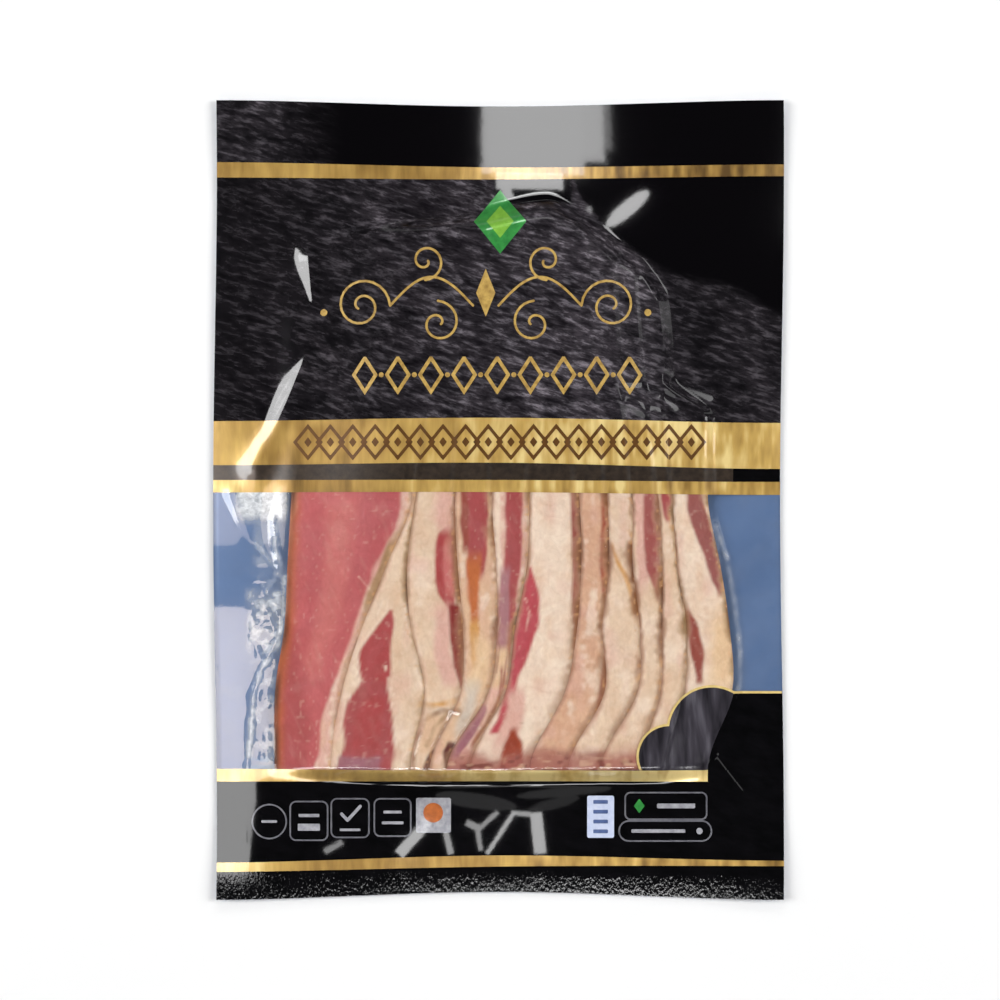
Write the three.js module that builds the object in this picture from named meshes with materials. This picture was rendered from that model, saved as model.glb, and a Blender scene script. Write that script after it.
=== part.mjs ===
// Flat vacuum pack of sliced bacon: a sealed film pouch lying on its back, with its front up.
// Millimetres. X runs across the pack, Y towards its top edge, and Z up from the surface it lies on.
// The origin is under the middle of the pack, on that surface.

import * as THREE from 'three';

// The pouch and its sealed rim
const PACK_WIDTH = 180;
const PACK_LENGTH = 252;
const TOP_EDGE_SAG = 1.9;
const BOTTOM_EDGE_RISE = 2.4;
const SIDE_WANDER = 0.6;
const SIDE_WANDER_LENGTH = 210;
const RIM_THICKNESS = 0.8;
const RIM_CLEARANCE = 0.6;
const RIM_SWAY = 0.3;
// Wavelengths of the waves in the rim, with where the first one starts
const RIM_WAVE = { along: 107, across: 195, shift: 0.6 };
const SLANTED_WAVE = { along: 258, across: 145 };
const CORNER_CURL = 1.2;
const CORNER_CURL_REACH = 34;

// The film over the overlapped slices
const STACK_HEIGHT = 8.6;
const LEFT_HEIGHT = 3.0;
const LEFT_RISE_LENGTH = 36;
const RIGHT_HEIGHT = 3.6;
const RIGHT_RISE_LENGTH = 24;
const SLICE_STEP = 1.35;
const CREST_AT = 0.8;
const FIRST_CREST_AT = 0.92;
const FULL_STEP_WIDTH = 6;

// How far the film slopes outside and inside the edge of the stack, on each side
const LEFT_SLOPE = { outside: 10, inside: 2 };
const RIGHT_SLOPE = { outside: 3.5, inside: 1.5 };
const TOP_SLOPE = { outside: 6, inside: 3 };
const BOTTOM_SLOPE = { outside: 4.5, inside: 2 };

// Where the slice edges cross seven lines across the pack, from the top of the stack to its foot
const CROSS_LINES = [93, 45, 0, -20, -40, -60, -85];
const STACK_LEFT = [-59, -62.9, -65.4, -66.5, -67.5, -70.4, -70.6];
const SLICE_RIGHTS = [
  [-31, -29, -27.3, -35, -42.9, -49.3, -52.8],
  [-22, -20, -26, -28.7, -27.6, -23.2, -27.6],
  [-12, -11, -13.7, -12.9, -11.2, -11.8, -21.6],
  [-2, 0, -2, -0.8, -0.5, -3, -16.2],
  [9, 10.4, 9.7, 9.0, 5.2, 2.2, -9],
  [20, 22, 25.4, 26, 24.7, 21, 9.9],
  [29, 31, 34.2, 34.7, 32.6, 33.3, 21.9],
  [37, 39, 42.1, 42.1, 44.3, 43.7, 32],
  [43, 46, 50.3, 51.5, 51.4, 50.9, 44.6],
  [48, 51, 54.7, 56.1, 59.1, 58.5, 53.4],
  [62, 65.5, 66, 69.8, 72.8, 73.6, 65.4],
];
const LAST_SLICE = SLICE_RIGHTS.length - 1;

// The outermost slice starts lower than the rest, which leaves a step in the outline
const SHORT_SLICE = { shiftIn: 13, from: 26, to: 38 };

// The ends of the stack, as heights up the pack at places across it
const TOP_END_ACROSS = [-62, -45, -6, 15, 24, 35, 45, 53];
const TOP_END = [78, 83, 87, 91, 87, 79, 72, 64];
const FOOT_END_ACROSS = [-70, -20, 30, 60, 66, 74];
const FOOT_END = [-85, -86, -85.5, -85, -83, -70];

// Ridges in the film: two ends, then height and half width
const RIDGES = [
  { from: [-24.7, -63], to: [-12, -65], height: 1.3, spread: 3.2 },
  { from: [-27, -82], to: [-14, -66], height: 0.9, spread: 2.6 },
  { from: [-60, 45], to: [-75, 14], height: 1.2, spread: 2.8 },
  { from: [-61, 80], to: [-58, 62], height: 1.1, spread: 2.6 },
  { from: [33, 86], to: [47, 97], height: 0.3, spread: 2.6 },
  { from: [52, 36], to: [66, 30], height: 1.0, spread: 2.8 },
  { from: [-84, 2], to: [-67, -42], height: 0.4, spread: 2.4 },
  { from: [-86, -36], to: [-68, -4], height: 0.4, spread: 2.4 },
  { from: [-30, -92], to: [14, -120], height: 0.3, spread: 2.8 },
  { from: [16, -92], to: [-34, -121], height: 0.3, spread: 2.8 },
  { from: [36, -86], to: [44, -112], height: 0.3, spread: 2.6 },
  { from: [68, -80], to: [82, -98], height: 0.5, spread: 2.6 },
];

// The flat patch of the back that carries the pack
const FOOT_PRINT = { left: -66, right: 68, bottom: -83, top: 84 };

// Mesh lines
const SIDE_MARGIN_CELLS = 2;
const FIRST_SLICE_CELLS = 9;
const STRIP_BREAKS = [0.35, CREST_AT, 1];
const STACK_ROWS = 54;
const STACK_ROWS_FROM = -82;
const STACK_ROWS_TO = 99;
const FOOT_ROWS = [-126, -120, -113, -106, -99, -94, -91, -88.5, -86.3, -84.2];
const HEAD_ROWS = [103, 108, 114, 120, 126];
const BACK_RINGS = [0.3, 0.6, 0.85, 1];
const BACK_RISE = 0.85;

// Zero at one value and one at the other, with a soft start and end
function ramp(from, to, value) {
  const part = THREE.MathUtils.clamp((value - from) / (to - from), 0, 1);
  return part * part * (3 - 2 * part);
}

// Smooth curve through values given at rising or falling places, level beyond both ends
function through(places, values, at) {
  const last = places.length - 1;
  const direction = Math.sign(places[last] - places[0]);
  if (direction * (at - places[0]) <= 0) {
    return values[0];
  }
  if (direction * (at - places[last]) >= 0) {
    return values[last];
  }
  let i = 0;
  while (direction * (at - places[i + 1]) > 0) {
    i += 1;
  }
  const slope = (j) => {
    if (j === 0 || j === last) {
      return 0;
    }
    return (values[j + 1] - values[j - 1]) / (places[j + 1] - places[j - 1]);
  };
  const span = places[i + 1] - places[i];
  const t = (at - places[i]) / span;
  const straight = THREE.MathUtils.lerp(values[i], values[i + 1], t * t * (3 - 2 * t));
  const startBend = span * slope(i) * t * (1 - t) * (1 - t);
  const endBend = span * slope(i + 1) * t * t * (t - 1);
  return straight + startBend + endBend;
}

function stackLeft(y) {
  return through(CROSS_LINES, STACK_LEFT, y);
}

function sliceRight(index, y) {
  const edge = through(CROSS_LINES, SLICE_RIGHTS[index], y);
  if (index < LAST_SLICE) {
    return edge;
  }
  return edge - SHORT_SLICE.shiftIn * ramp(SHORT_SLICE.from, SHORT_SLICE.to, y);
}

function sideEdge(side, y) {
  const wander = SIDE_WANDER * Math.cos((2 * Math.PI * y) / SIDE_WANDER_LENGTH);
  return side * (PACK_WIDTH / 2 - SIDE_WANDER - wander * side);
}

// Underside of the sealed rim: slow waves along the edges, and corners that curl up
function rimUnderside(x, y) {
  const turn = 2 * Math.PI;
  const alongEdge = Math.sin((turn * y) / RIM_WAVE.along + RIM_WAVE.shift);
  const straight = alongEdge * Math.cos((turn * x) / RIM_WAVE.across);
  const slanted = Math.sin(turn * (x / SLANTED_WAVE.across - y / SLANTED_WAVE.along));
  const toCorner = Math.hypot(PACK_WIDTH / 2 - Math.abs(x), PACK_LENGTH / 2 - Math.abs(y));
  const curl = CORNER_CURL * ramp(CORNER_CURL_REACH, 0, toCorner);
  return RIM_CLEARANCE + RIM_SWAY * (1 + (straight + slanted) / 2) + curl;
}

// Height of the film over the slices, before it slopes down to the rim
function stackSurface(x, y) {
  const right = sliceRight(LAST_SLICE, y);
  const fromLeft = ramp(0, LEFT_RISE_LENGTH, x - stackLeft(y));
  const fromRight = ramp(0, RIGHT_RISE_LENGTH, right - x);
  const leftSide = LEFT_HEIGHT + (STACK_HEIGHT - LEFT_HEIGHT) * fromLeft;
  const rightSide = RIGHT_HEIGHT + (STACK_HEIGHT - RIGHT_HEIGHT) * fromRight;
  return Math.min(leftSide, rightSide) - sliceDrop(x, y);
}

// Depth of the step at one slice edge, less where the strip on either side is narrow
function stepDepth(edges, i) {
  if (i === 0 || i === edges.length - 1) {
    return 0;
  }
  const narrower = Math.min(edges[i] - edges[i - 1], edges[i + 1] - edges[i]);
  return SLICE_STEP * THREE.MathUtils.clamp(narrower / FULL_STEP_WIDTH, 0, 1);
}

// Each slice climbs from the step beside its neighbour to its own crest, and drops at its edge
function sliceDrop(x, y) {
  const edges = [stackLeft(y)];
  for (let index = 0; index <= LAST_SLICE; index += 1) {
    edges.push(sliceRight(index, y));
  }
  const end = edges.findIndex((edge) => x <= edge);
  if (end < 1) {
    return 0;
  }
  const across = (x - edges[end - 1]) / (edges[end] - edges[end - 1]);
  const crest = end === 1 ? FIRST_CREST_AT : CREST_AT;
  const dropFromCrest = stepDepth(edges, end) * ramp(crest, 1, across);
  return stepDepth(edges, end - 1) * ramp(crest, 0, across) + dropFromCrest;
}

function ridgeHeight(ridge, x, y) {
  const start = new THREE.Vector2(...ridge.from);
  const run = new THREE.Vector2(...ridge.to).sub(start);
  const point = new THREE.Vector2(x, y).sub(start);
  const along = THREE.MathUtils.clamp(point.dot(run) / run.lengthSq(), 0, 1);
  const distance = point.distanceTo(run.multiplyScalar(along));
  return ridge.height * Math.exp(-((distance / ridge.spread) ** 2));
}

// One at the middle of the stack, falling to zero where the film meets the rim
function stackShare(x, y) {
  const left = ramp(-LEFT_SLOPE.outside, LEFT_SLOPE.inside, x - stackLeft(y));
  const right = ramp(-RIGHT_SLOPE.outside, RIGHT_SLOPE.inside, sliceRight(LAST_SLICE, y) - x);
  const top = ramp(-TOP_SLOPE.outside, TOP_SLOPE.inside, through(TOP_END_ACROSS, TOP_END, x) - y);
  const foot = ramp(-BOTTOM_SLOPE.outside, BOTTOM_SLOPE.inside, y - through(FOOT_END_ACROSS, FOOT_END, x));
  return left * right * top * foot;
}

function frontHeight(x, y) {
  const rim = rimUnderside(x, y) + RIM_THICKNESS;
  const share = stackShare(x, y);
  let height = rim + (stackSurface(x, y) - rim) * share;
  for (const ridge of RIDGES) {
    height += ridgeHeight(ridge, x, y);
  }
  return height;
}

// Rows bend towards the pack's ends, whose cut edges aren't straight
function bendRow(row, x) {
  const middle = Math.cos((Math.PI * x) / PACK_WIDTH) ** 2;
  const towardsTop = ramp(STACK_ROWS_TO, PACK_LENGTH / 2, row);
  const towardsBottom = ramp(STACK_ROWS_FROM, -PACK_LENGTH / 2, row);
  return row - TOP_EDGE_SAG * middle * towardsTop + BOTTOM_EDGE_RISE * middle * towardsBottom;
}

function rowPlaces() {
  const places = [...FOOT_ROWS];
  for (let i = 0; i <= STACK_ROWS; i += 1) {
    places.push(THREE.MathUtils.lerp(STACK_ROWS_FROM, STACK_ROWS_TO, i / STACK_ROWS));
  }
  return places.concat(HEAD_ROWS);
}

// Places across one row: the mesh lines run along the edges of the slices
function columnPlaces(row) {
  const left = stackLeft(row);
  const right = sliceRight(LAST_SLICE, row);
  const leftFoot = left - LEFT_SLOPE.outside;
  const rightFoot = right + RIGHT_SLOPE.outside;
  const places = [];
  for (let i = 0; i < SIDE_MARGIN_CELLS; i += 1) {
    places.push(THREE.MathUtils.lerp(sideEdge(-1, row), leftFoot, i / SIDE_MARGIN_CELLS));
  }
  places.push(leftFoot, left - LEFT_SLOPE.outside / 2);
  const firstRight = sliceRight(0, row);
  for (let i = 0; i <= FIRST_SLICE_CELLS; i += 1) {
    places.push(THREE.MathUtils.lerp(left, firstRight, i / FIRST_SLICE_CELLS));
  }
  for (let index = 1; index <= LAST_SLICE; index += 1) {
    for (const part of STRIP_BREAKS) {
      places.push(THREE.MathUtils.lerp(sliceRight(index - 1, row), sliceRight(index, row), part));
    }
  }
  places.push(right + RIGHT_SLOPE.outside / 2);
  for (let i = 0; i <= SIDE_MARGIN_CELLS; i += 1) {
    places.push(THREE.MathUtils.lerp(rightFoot, sideEdge(1, row), i / SIDE_MARGIN_CELLS));
  }
  return places;
}

function frontGrid() {
  return rowPlaces().map((row) => columnPlaces(row).map((x) => {
    const y = bendRow(row, x);
    return new THREE.Vector3(x, y, frontHeight(x, y));
  }));
}

// The grid's outer points, counter-clockwise seen from the front
function gridBorder(grid) {
  const lastRow = grid.length - 1;
  const lastColumn = grid[0].length - 1;
  const border = grid[0].slice(0, lastColumn);
  for (let row = 0; row < lastRow; row += 1) {
    border.push(grid[row][lastColumn]);
  }
  for (let column = lastColumn; column > 0; column -= 1) {
    border.push(grid[lastRow][column]);
  }
  for (let row = lastRow; row > 0; row -= 1) {
    border.push(grid[row][0]);
  }
  return border;
}

// A point of the back, on the way in from the cut edge to the flat patch that carries the pack
function backPoint(edgePoint, inward) {
  const acrossPart = edgePoint.x / PACK_WIDTH + 0.5;
  const upPart = edgePoint.y / PACK_LENGTH + 0.5;
  const footX = THREE.MathUtils.lerp(FOOT_PRINT.left, FOOT_PRINT.right, acrossPart);
  const footY = THREE.MathUtils.lerp(FOOT_PRINT.bottom, FOOT_PRINT.top, upPart);
  const x = THREE.MathUtils.lerp(edgePoint.x, footX, inward);
  const y = THREE.MathUtils.lerp(edgePoint.y, footY, inward);
  return new THREE.Vector3(x, y, rimUnderside(x, y) * ramp(1, 1 - BACK_RISE, inward));
}

class SolidBuilder {
  constructor() {
    this.positions = [];
    this.faces = [];
  }

  addPoint(point) {
    this.positions.push(point.x, point.y, point.z);
    return this.positions.length / 3 - 1;
  }

  addQuad(a, b, c, d) {
    this.faces.push(a, b, c, a, c, d);
  }

  geometry() {
    const geometry = new THREE.BufferGeometry();
    geometry.setAttribute('position', new THREE.Float32BufferAttribute(this.positions, 3));
    geometry.setIndex(this.faces);
    geometry.computeVertexNormals();
    return geometry;
  }
}

function addFront(solid, grid) {
  const numbers = grid.map((row) => row.map((point) => solid.addPoint(point)));
  for (let row = 0; row + 1 < numbers.length; row += 1) {
    for (let column = 0; column + 1 < numbers[row].length; column += 1) {
      const near = numbers[row];
      const far = numbers[row + 1];
      solid.addQuad(near[column], near[column + 1], far[column + 1], far[column]);
    }
  }
  return numbers;
}

function addBack(solid, borderNumbers, borderPoints) {
  let outer = borderNumbers;
  for (const inward of [0, ...BACK_RINGS]) {
    const ring = borderPoints.map((point) => solid.addPoint(backPoint(point, inward)));
    ring.forEach((number, i) => {
      const next = (i + 1) % ring.length;
      solid.addQuad(outer[next], outer[i], number, ring[next]);
    });
    outer = ring;
  }
  const centreX = (FOOT_PRINT.left + FOOT_PRINT.right) / 2;
  const centreY = (FOOT_PRINT.bottom + FOOT_PRINT.top) / 2;
  const centre = solid.addPoint(new THREE.Vector3(centreX, centreY, 0));
  outer.forEach((number, i) => {
    solid.faces.push(outer[(i + 1) % outer.length], number, centre);
  });
}

function pouchGeometry() {
  const solid = new SolidBuilder();
  const grid = frontGrid();
  const numbers = addFront(solid, grid);
  addBack(solid, gridBorder(numbers), gridBorder(grid));
  return solid.geometry();
}

function filmMaterial() {
  return new THREE.MeshStandardMaterial({ color: 0x2b2a30, roughness: 0.3, metalness: 0 });
}

function makePouch() {
  const pouch = new THREE.Mesh(pouchGeometry(), filmMaterial());
  pouch.name = 'pouch';
  return pouch;
}

const pack = new THREE.Group();
pack.add(makePouch());

export default pack;
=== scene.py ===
# Looks of the bacon pack: a printed front film with a clear window, a blue back and overlapped slices.
# Places and sizes are in millimetres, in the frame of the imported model, and are scaled to metres once.

import bpy
import numpy as np
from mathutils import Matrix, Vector


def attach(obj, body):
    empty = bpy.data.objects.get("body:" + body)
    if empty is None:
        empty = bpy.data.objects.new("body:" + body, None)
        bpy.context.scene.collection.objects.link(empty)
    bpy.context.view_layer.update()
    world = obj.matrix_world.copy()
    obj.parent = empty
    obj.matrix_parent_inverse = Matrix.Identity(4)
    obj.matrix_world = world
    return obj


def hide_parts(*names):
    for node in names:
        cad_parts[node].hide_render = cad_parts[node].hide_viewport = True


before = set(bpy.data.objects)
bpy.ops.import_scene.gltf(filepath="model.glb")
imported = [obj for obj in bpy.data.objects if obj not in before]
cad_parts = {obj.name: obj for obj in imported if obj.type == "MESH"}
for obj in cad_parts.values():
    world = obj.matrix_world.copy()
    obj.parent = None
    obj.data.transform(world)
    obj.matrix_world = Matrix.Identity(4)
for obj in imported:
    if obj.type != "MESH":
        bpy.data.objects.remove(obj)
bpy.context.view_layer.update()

MM = 0.001
POUCH = "pouch"
BODY = "root"

# The pouch and its sealed rim
PACK_WIDTH = 180
PACK_LENGTH = 252
TOP_EDGE_SAG = 1.9
BOTTOM_EDGE_RISE = 2.4
TOP_BEND_STARTS = 99
BOTTOM_BEND_STARTS = -82
SIDE_WANDER = 0.6
SIDE_WANDER_LENGTH = 210
RIM_CLEARANCE = 0.6
RIM_SWAY = 0.3
RIM_WAVE = {"along": 107, "across": 195, "shift": 0.6}
SLANTED_WAVE = {"along": 258, "across": 145}
CORNER_CURL = 1.2
CORNER_CURL_REACH = 34
RIM_FILM = 0.35
BACK_FILM = 0.2
BACK_RISE = 0.85
BACK_CELL = 2.0
BACK_CREASES = {"depth": 0.1, "cell": 9, "spacing": 31, "ramp": 30}
FOOT_PRINT = {"left": -66, "right": 68, "bottom": -83, "top": 84}

# The film over the overlapped slices
STACK_HEIGHT = 8.6
LEFT_HEIGHT = 3.0
LEFT_RISE_LENGTH = 36
RIGHT_HEIGHT = 3.6
RIGHT_RISE_LENGTH = 24
SLICE_STEP = 1.35
CREST_AT = 0.8
FIRST_CREST_AT = 0.92
FULL_STEP_WIDTH = 6
LEFT_SLOPE = (10, 2)
RIGHT_SLOPE = (3.5, 1.5)
TOP_SLOPE = (6, 3)
BOTTOM_SLOPE = (4.5, 2)

# Where the slice edges cross seven lines across the pack, from the top of the stack to its foot
CROSS_LINES = [93, 45, 0, -20, -40, -60, -85]
STACK_LEFT = [-59, -62.9, -65.4, -66.5, -67.5, -70.4, -70.6]
SLICE_RIGHTS = [
    [-31, -29, -27.3, -35, -42.9, -49.3, -52.8],
    [-22, -20, -26, -28.7, -27.6, -23.2, -27.6],
    [-12, -11, -13.7, -12.9, -11.2, -11.8, -21.6],
    [-2, 0, -2, -0.8, -0.5, -3, -16.2],
    [9, 10.4, 9.7, 9.0, 5.2, 2.2, -9],
    [20, 22, 25.4, 26, 24.7, 21, 9.9],
    [29, 31, 34.2, 34.7, 32.6, 33.3, 21.9],
    [37, 39, 42.1, 42.1, 44.3, 43.7, 32],
    [43, 46, 50.3, 51.5, 51.4, 50.9, 44.6],
    [48, 51, 54.7, 56.1, 59.1, 58.5, 53.4],
    [62, 65.5, 66, 69.8, 72.8, 73.6, 65.4],
]
SLICE_COUNT = len(SLICE_RIGHTS)

# The last slice narrows towards its head, and ends a little past where that starts
SHORT_SLICE = {"shift_in": 13, "from": 26, "to": 38, "past": 4}

# Heights of the stack's head and foot from left to right
TOP_END_ACROSS = [-62, -45, -6, 15, 24, 35, 45, 53]
TOP_END = [78, 83, 87, 91, 87, 79, 72, 64]
FOOT_END_ACROSS = [-70, -20, 30, 60, 66, 74]
FOOT_END = [-85, -86, -85.5, -85, -83, -70]

# Ridges in the film: two ends, height, and half width at each end
RIDGES = [
    ((-24.7, -63), (-12, -65), 1.3, 3.2, 3.2),
    ((-27, -82), (-14, -66), 0.9, 2.6, 2.6),
    ((-60, 45), (-76.5, 10), 1.3, 1.5, 4.4),
    ((-59.6, 80), (-58, 63), 1.2, 3.4, 1.5),
    ((52, 36), (66, 30), 1.0, 2.8, 2.8),
    ((-84, 2), (-67, -42), 0.4, 2.4, 2.4),
    ((68, -80), (82, -98), 0.5, 2.6, 2.6),
]

# Lumps in the film over the slices and ripples in the rim: depth and cell
LUMPS = [(0.16, 8), (0.05, 3.1)]
RIPPLES = (0.035, 16)

# The film is tauter than the slices under it, so its steps are lower than theirs
STEP_IN_WINDOW = 0.62
STEP_UNDER_PRINT = 0.25
PRINT_STARTS = (8, 30)

# Bright folds in the clear film beside the slices: their line, height and half width
FOLDS = [
    ([(-67.6, -24.6), (-67.9, -35.6), (-69.6, -44.1), (-75, -53.9), (-77.4, -62.4), (-78.5, -76.2),
      (-79.3, -84)], 0.42, 0.95),
    ([(-76.4, -13.8), (-68.7, -23.8)], 0.34, 0.8),
    ([(-71, -6), (-69.4, -22)], 0.32, 0.8),
    ([(68.6, -8), (72.2, -19), (74.4, -33), (76, -48), (75.6, -58), (73, -70), (69.5, -79.5)], 0.4, 0.6),
    ([(45.5, 71), (50.5, 60), (52.5, 48), (51.5, 37)], 0.12, 0.6),
    ([(49, 70.5), (53.5, 60), (54.5, 48), (53.5, 37)], 0.12, 0.6),
]

# How steeply a fold falls off
FOLD_POWER = 1.4

# Crumpled film at the left side of the window: where it fades in from each side and from the stack
CRUMPLE_LIMITS = {"left": (-82, -77), "right": (-64, -67), "bottom": (-86, -82), "top": (-16, -22)}
CRUMPLE_BESIDE = (-0.2, -2.5)
CRUMPLE_HEIGHT = 0.7
CRUMPLE_CELL = 4.8
CRUMPLE_FINER = 2.2

# Fine creases that the film alone has
CREASES = [
    ((-88, -52), (-80, -84), 0.1, 0.8),
    ((-86.5, -91), (-85, -113), 0.05, 0.7),
    ((-82, -93), (-83, -112), 0.05, 0.6),
    ((-79.5, -90), (-80, -108), 0.04, 0.6),
    ((-85, 86), (-84, 74), 0.06, 0.7),
    ((-82.5, 84), (-82, 70), 0.06, 0.7),
    ((-79.5, 79), (-79, 71), 0.05, 0.7),
    ((-27, -62), (-12, -66.5), 0.3, 0.5),
    ((-26.5, -84), (-22.5, -67), 0.3, 0.5),
]

# Gold lines of the print: heights up the pack at its left edge, its middle and its right edge
LINE_PLACES = [-90, 0, 90]
GOLD_LINES = {
    "head_line": {"upper": [106.5, 104.9, 105.8], "lower": [101.7, 101.1, 102.1]},
    "band": {"upper": [24.9, 25.8, 24.3], "lower": [11.0, 11.7, 9.8]},
    "rule": {"upper": [6.3, 6.3, 5.7], "lower": [2.4, 2.5, 1.6]},
    "sill": {"upper": [-84.8, -84.8, -85.2], "lower": [-88.8, -88.6, -88.9]},
    "foot_line": {"upper": [-114.3, -112.1, -113.7], "lower": [-117.2, -115.6, -115.4]},
}

# Mesh cell of the front film, and how far each layer of print stands off it
FILM_CELL = 0.5
PRINT_LIFT = 0.05

# A mesh point this near an outline counts as inside it
LEAST_FIELD = 0.001

# The slices: sizes, mesh cells, and how uneven their ends are
SLICE_WIDTH = 40
SLICE_GAP = 0.16
GROOVE_DEPTH = 0.1
GROOVE_WIDTH = 1.0
SLICE_CELL = 0.36
COARSE_CELL = 2.0
FIRST_SLICE_CELL = 0.42
HIDDEN_COLUMNS = 7
FIRST_STRIP = 36
OTHER_STRIPS = 10
LEAST_STRIP = 0.5
SHOWN_TOP = 7.5
ENDS_INSET = 5
FOOT_UNEVEN = {"level": -85.0, "least": 0.6, "most": 1.6}
HEAD_UNEVEN = {"level": 80.0, "most": 2.5}
BACK_GAP = 0.05
LEAST_ROOM = 0.12
THIN_SIDES = {"shown": 0.8, "under_neighbour": 5.0, "least": 0.03}
HIDDEN_INSET = {"first": 1.5, "each": 0.3}

# The noise: each layer adds its number to the seed
SEED = 11
NOISE_TABLE = 97
NOISE_START = (1000.3, 1000.7)


def ramp(start, end, value):
    """Zero at one value and one at the other, with a soft start and end."""
    part = np.clip((value - start) / (end - start), 0, 1)
    return part * part * (3 - 2 * part)


def through(places, values, at):
    """Smooth curve through values given at rising or falling places, level beyond both ends."""
    places = np.asarray(places, float)
    values = np.asarray(values, float)
    if places[0] > places[-1]:
        places, values = places[::-1], values[::-1]
    slopes = np.zeros_like(values)
    slopes[1:-1] = (values[2:] - values[:-2]) / (places[2:] - places[:-2])
    at = np.clip(at, places[0], places[-1])
    i = np.clip(np.searchsorted(places, at, side="right") - 1, 0, len(places) - 2)
    span = places[i + 1] - places[i]
    t = (at - places[i]) / span
    straight = values[i] + (values[i + 1] - values[i]) * t * t * (3 - 2 * t)
    start_bend = span * slopes[i] * t * (1 - t) ** 2
    end_bend = span * slopes[i + 1] * t * t * (t - 1)
    return straight + start_bend + end_bend


def soft_span(start, end, soft, value):
    """One between two limits, with soft ends."""
    return ramp(start - soft, start + soft, value) * ramp(end + soft, end - soft, value)


def value_noise(x, y, cell, layer):
    """Smooth noise from -0.5 to 0.5 with bumps about one cell wide. Each layer has its own pattern."""
    size = NOISE_TABLE
    table = np.random.RandomState(SEED + layer).rand(size, size) - 0.5
    u, v = x / cell + NOISE_START[0], y / cell + NOISE_START[1]
    i, j = np.floor(u).astype(int), np.floor(v).astype(int)
    s, t = u - i, v - j
    s, t = s * s * (3 - 2 * s), t * t * (3 - 2 * t)
    i, j = i % size, j % size
    near = table[i, j] * (1 - s) + table[(i + 1) % size, j] * s
    far = table[i, (j + 1) % size] * (1 - s) + table[(i + 1) % size, (j + 1) % size] * s
    return near * (1 - t) + far * t


def stack_left(y):
    return through(CROSS_LINES, STACK_LEFT, y)


def slice_right(index, y):
    edge = through(CROSS_LINES, SLICE_RIGHTS[index], y)
    if index < SLICE_COUNT - 1:
        return edge
    return edge - SHORT_SLICE["shift_in"] * ramp(SHORT_SLICE["from"], SHORT_SLICE["to"], y)


def side_edge(side, y):
    wander = SIDE_WANDER * np.cos(2 * np.pi * y / SIDE_WANDER_LENGTH)
    return side * (PACK_WIDTH / 2 - SIDE_WANDER - wander * side)


def rim_underside(x, y):
    """Underside of the sealed rim: slow waves along the edges, and corners that curl up."""
    turn = 2 * np.pi
    straight = np.sin(turn * y / RIM_WAVE["along"] + RIM_WAVE["shift"])
    straight = straight * np.cos(turn * x / RIM_WAVE["across"])
    slanted = np.sin(turn * (x / SLANTED_WAVE["across"] - y / SLANTED_WAVE["along"]))
    to_corner = np.hypot(PACK_WIDTH / 2 - np.abs(x), PACK_LENGTH / 2 - np.abs(y))
    curl = CORNER_CURL * ramp(CORNER_CURL_REACH, 0, to_corner)
    return RIM_CLEARANCE + RIM_SWAY * (1 + (straight + slanted) / 2) + curl


def back_height(x, y):
    """Level of the back film without creases: it comes down to the flat patch that carries the pack."""
    from_left = (x + PACK_WIDTH / 2) / (FOOT_PRINT["left"] + PACK_WIDTH / 2)
    from_right = (PACK_WIDTH / 2 - x) / (PACK_WIDTH / 2 - FOOT_PRINT["right"])
    from_bottom = (y + PACK_LENGTH / 2) / (FOOT_PRINT["bottom"] + PACK_LENGTH / 2)
    from_top = (PACK_LENGTH / 2 - y) / (PACK_LENGTH / 2 - FOOT_PRINT["top"])
    inward = np.minimum(np.minimum(from_left, from_right), np.minimum(from_bottom, from_top))
    return rim_underside(x, y) * ramp(1, 1 - BACK_RISE, np.clip(inward, 0, 1))


def back_underside(x, y):
    """Outer face of the back film with its soft creases."""
    depth = BACK_CREASES["depth"] * (0.5 + value_noise(x, y, BACK_CREASES["cell"], 70))
    across_crease = np.hypot(x, y) % BACK_CREASES["spacing"]
    return back_height(x, y) + depth * ramp(0, BACK_CREASES["ramp"], across_crease)


def back_topside(x, y):
    return back_underside(x, y) + BACK_FILM


def slice_drop(x, y):
    """Each slice climbs from the step beside its neighbour to its own crest, and drops at its edge."""
    edges = [stack_left(y)] + [slice_right(k, y) for k in range(SLICE_COUNT)]
    steps = [np.zeros_like(x)]
    for i in range(1, SLICE_COUNT):
        narrower = np.minimum(edges[i] - edges[i - 1], edges[i + 1] - edges[i])
        steps.append(SLICE_STEP * np.clip(narrower / FULL_STEP_WIDTH, 0, 1))
    steps.append(np.zeros_like(x))
    drop = np.zeros_like(x)
    for i in range(1, SLICE_COUNT + 1):
        across = (x - edges[i - 1]) / np.maximum(edges[i] - edges[i - 1], 0.01)
        crest = FIRST_CREST_AT if i == 1 else CREST_AT
        here = (x > edges[i - 1]) & (x <= edges[i])
        from_step, to_step = ramp(crest, 0, across), ramp(crest, 1, across)
        drop = np.where(here, steps[i - 1] * from_step + steps[i] * to_step, drop)
    return drop


def stack_surface(x, y):
    right = slice_right(SLICE_COUNT - 1, y)
    from_left = ramp(0, LEFT_RISE_LENGTH, x - stack_left(y))
    from_right = ramp(0, RIGHT_RISE_LENGTH, right - x)
    left_side = LEFT_HEIGHT + (STACK_HEIGHT - LEFT_HEIGHT) * from_left
    right_side = RIGHT_HEIGHT + (STACK_HEIGHT - RIGHT_HEIGHT) * from_right
    return np.minimum(left_side, right_side) - slice_drop(x, y)


def share_along(x, y, start, end):
    """How far along a segment each point lies, from zero to one."""
    run_x, run_y = end[0] - start[0], end[1] - start[1]
    along = ((x - start[0]) * run_x + (y - start[1]) * run_y) / (run_x ** 2 + run_y ** 2)
    return np.clip(along, 0, 1)


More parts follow.
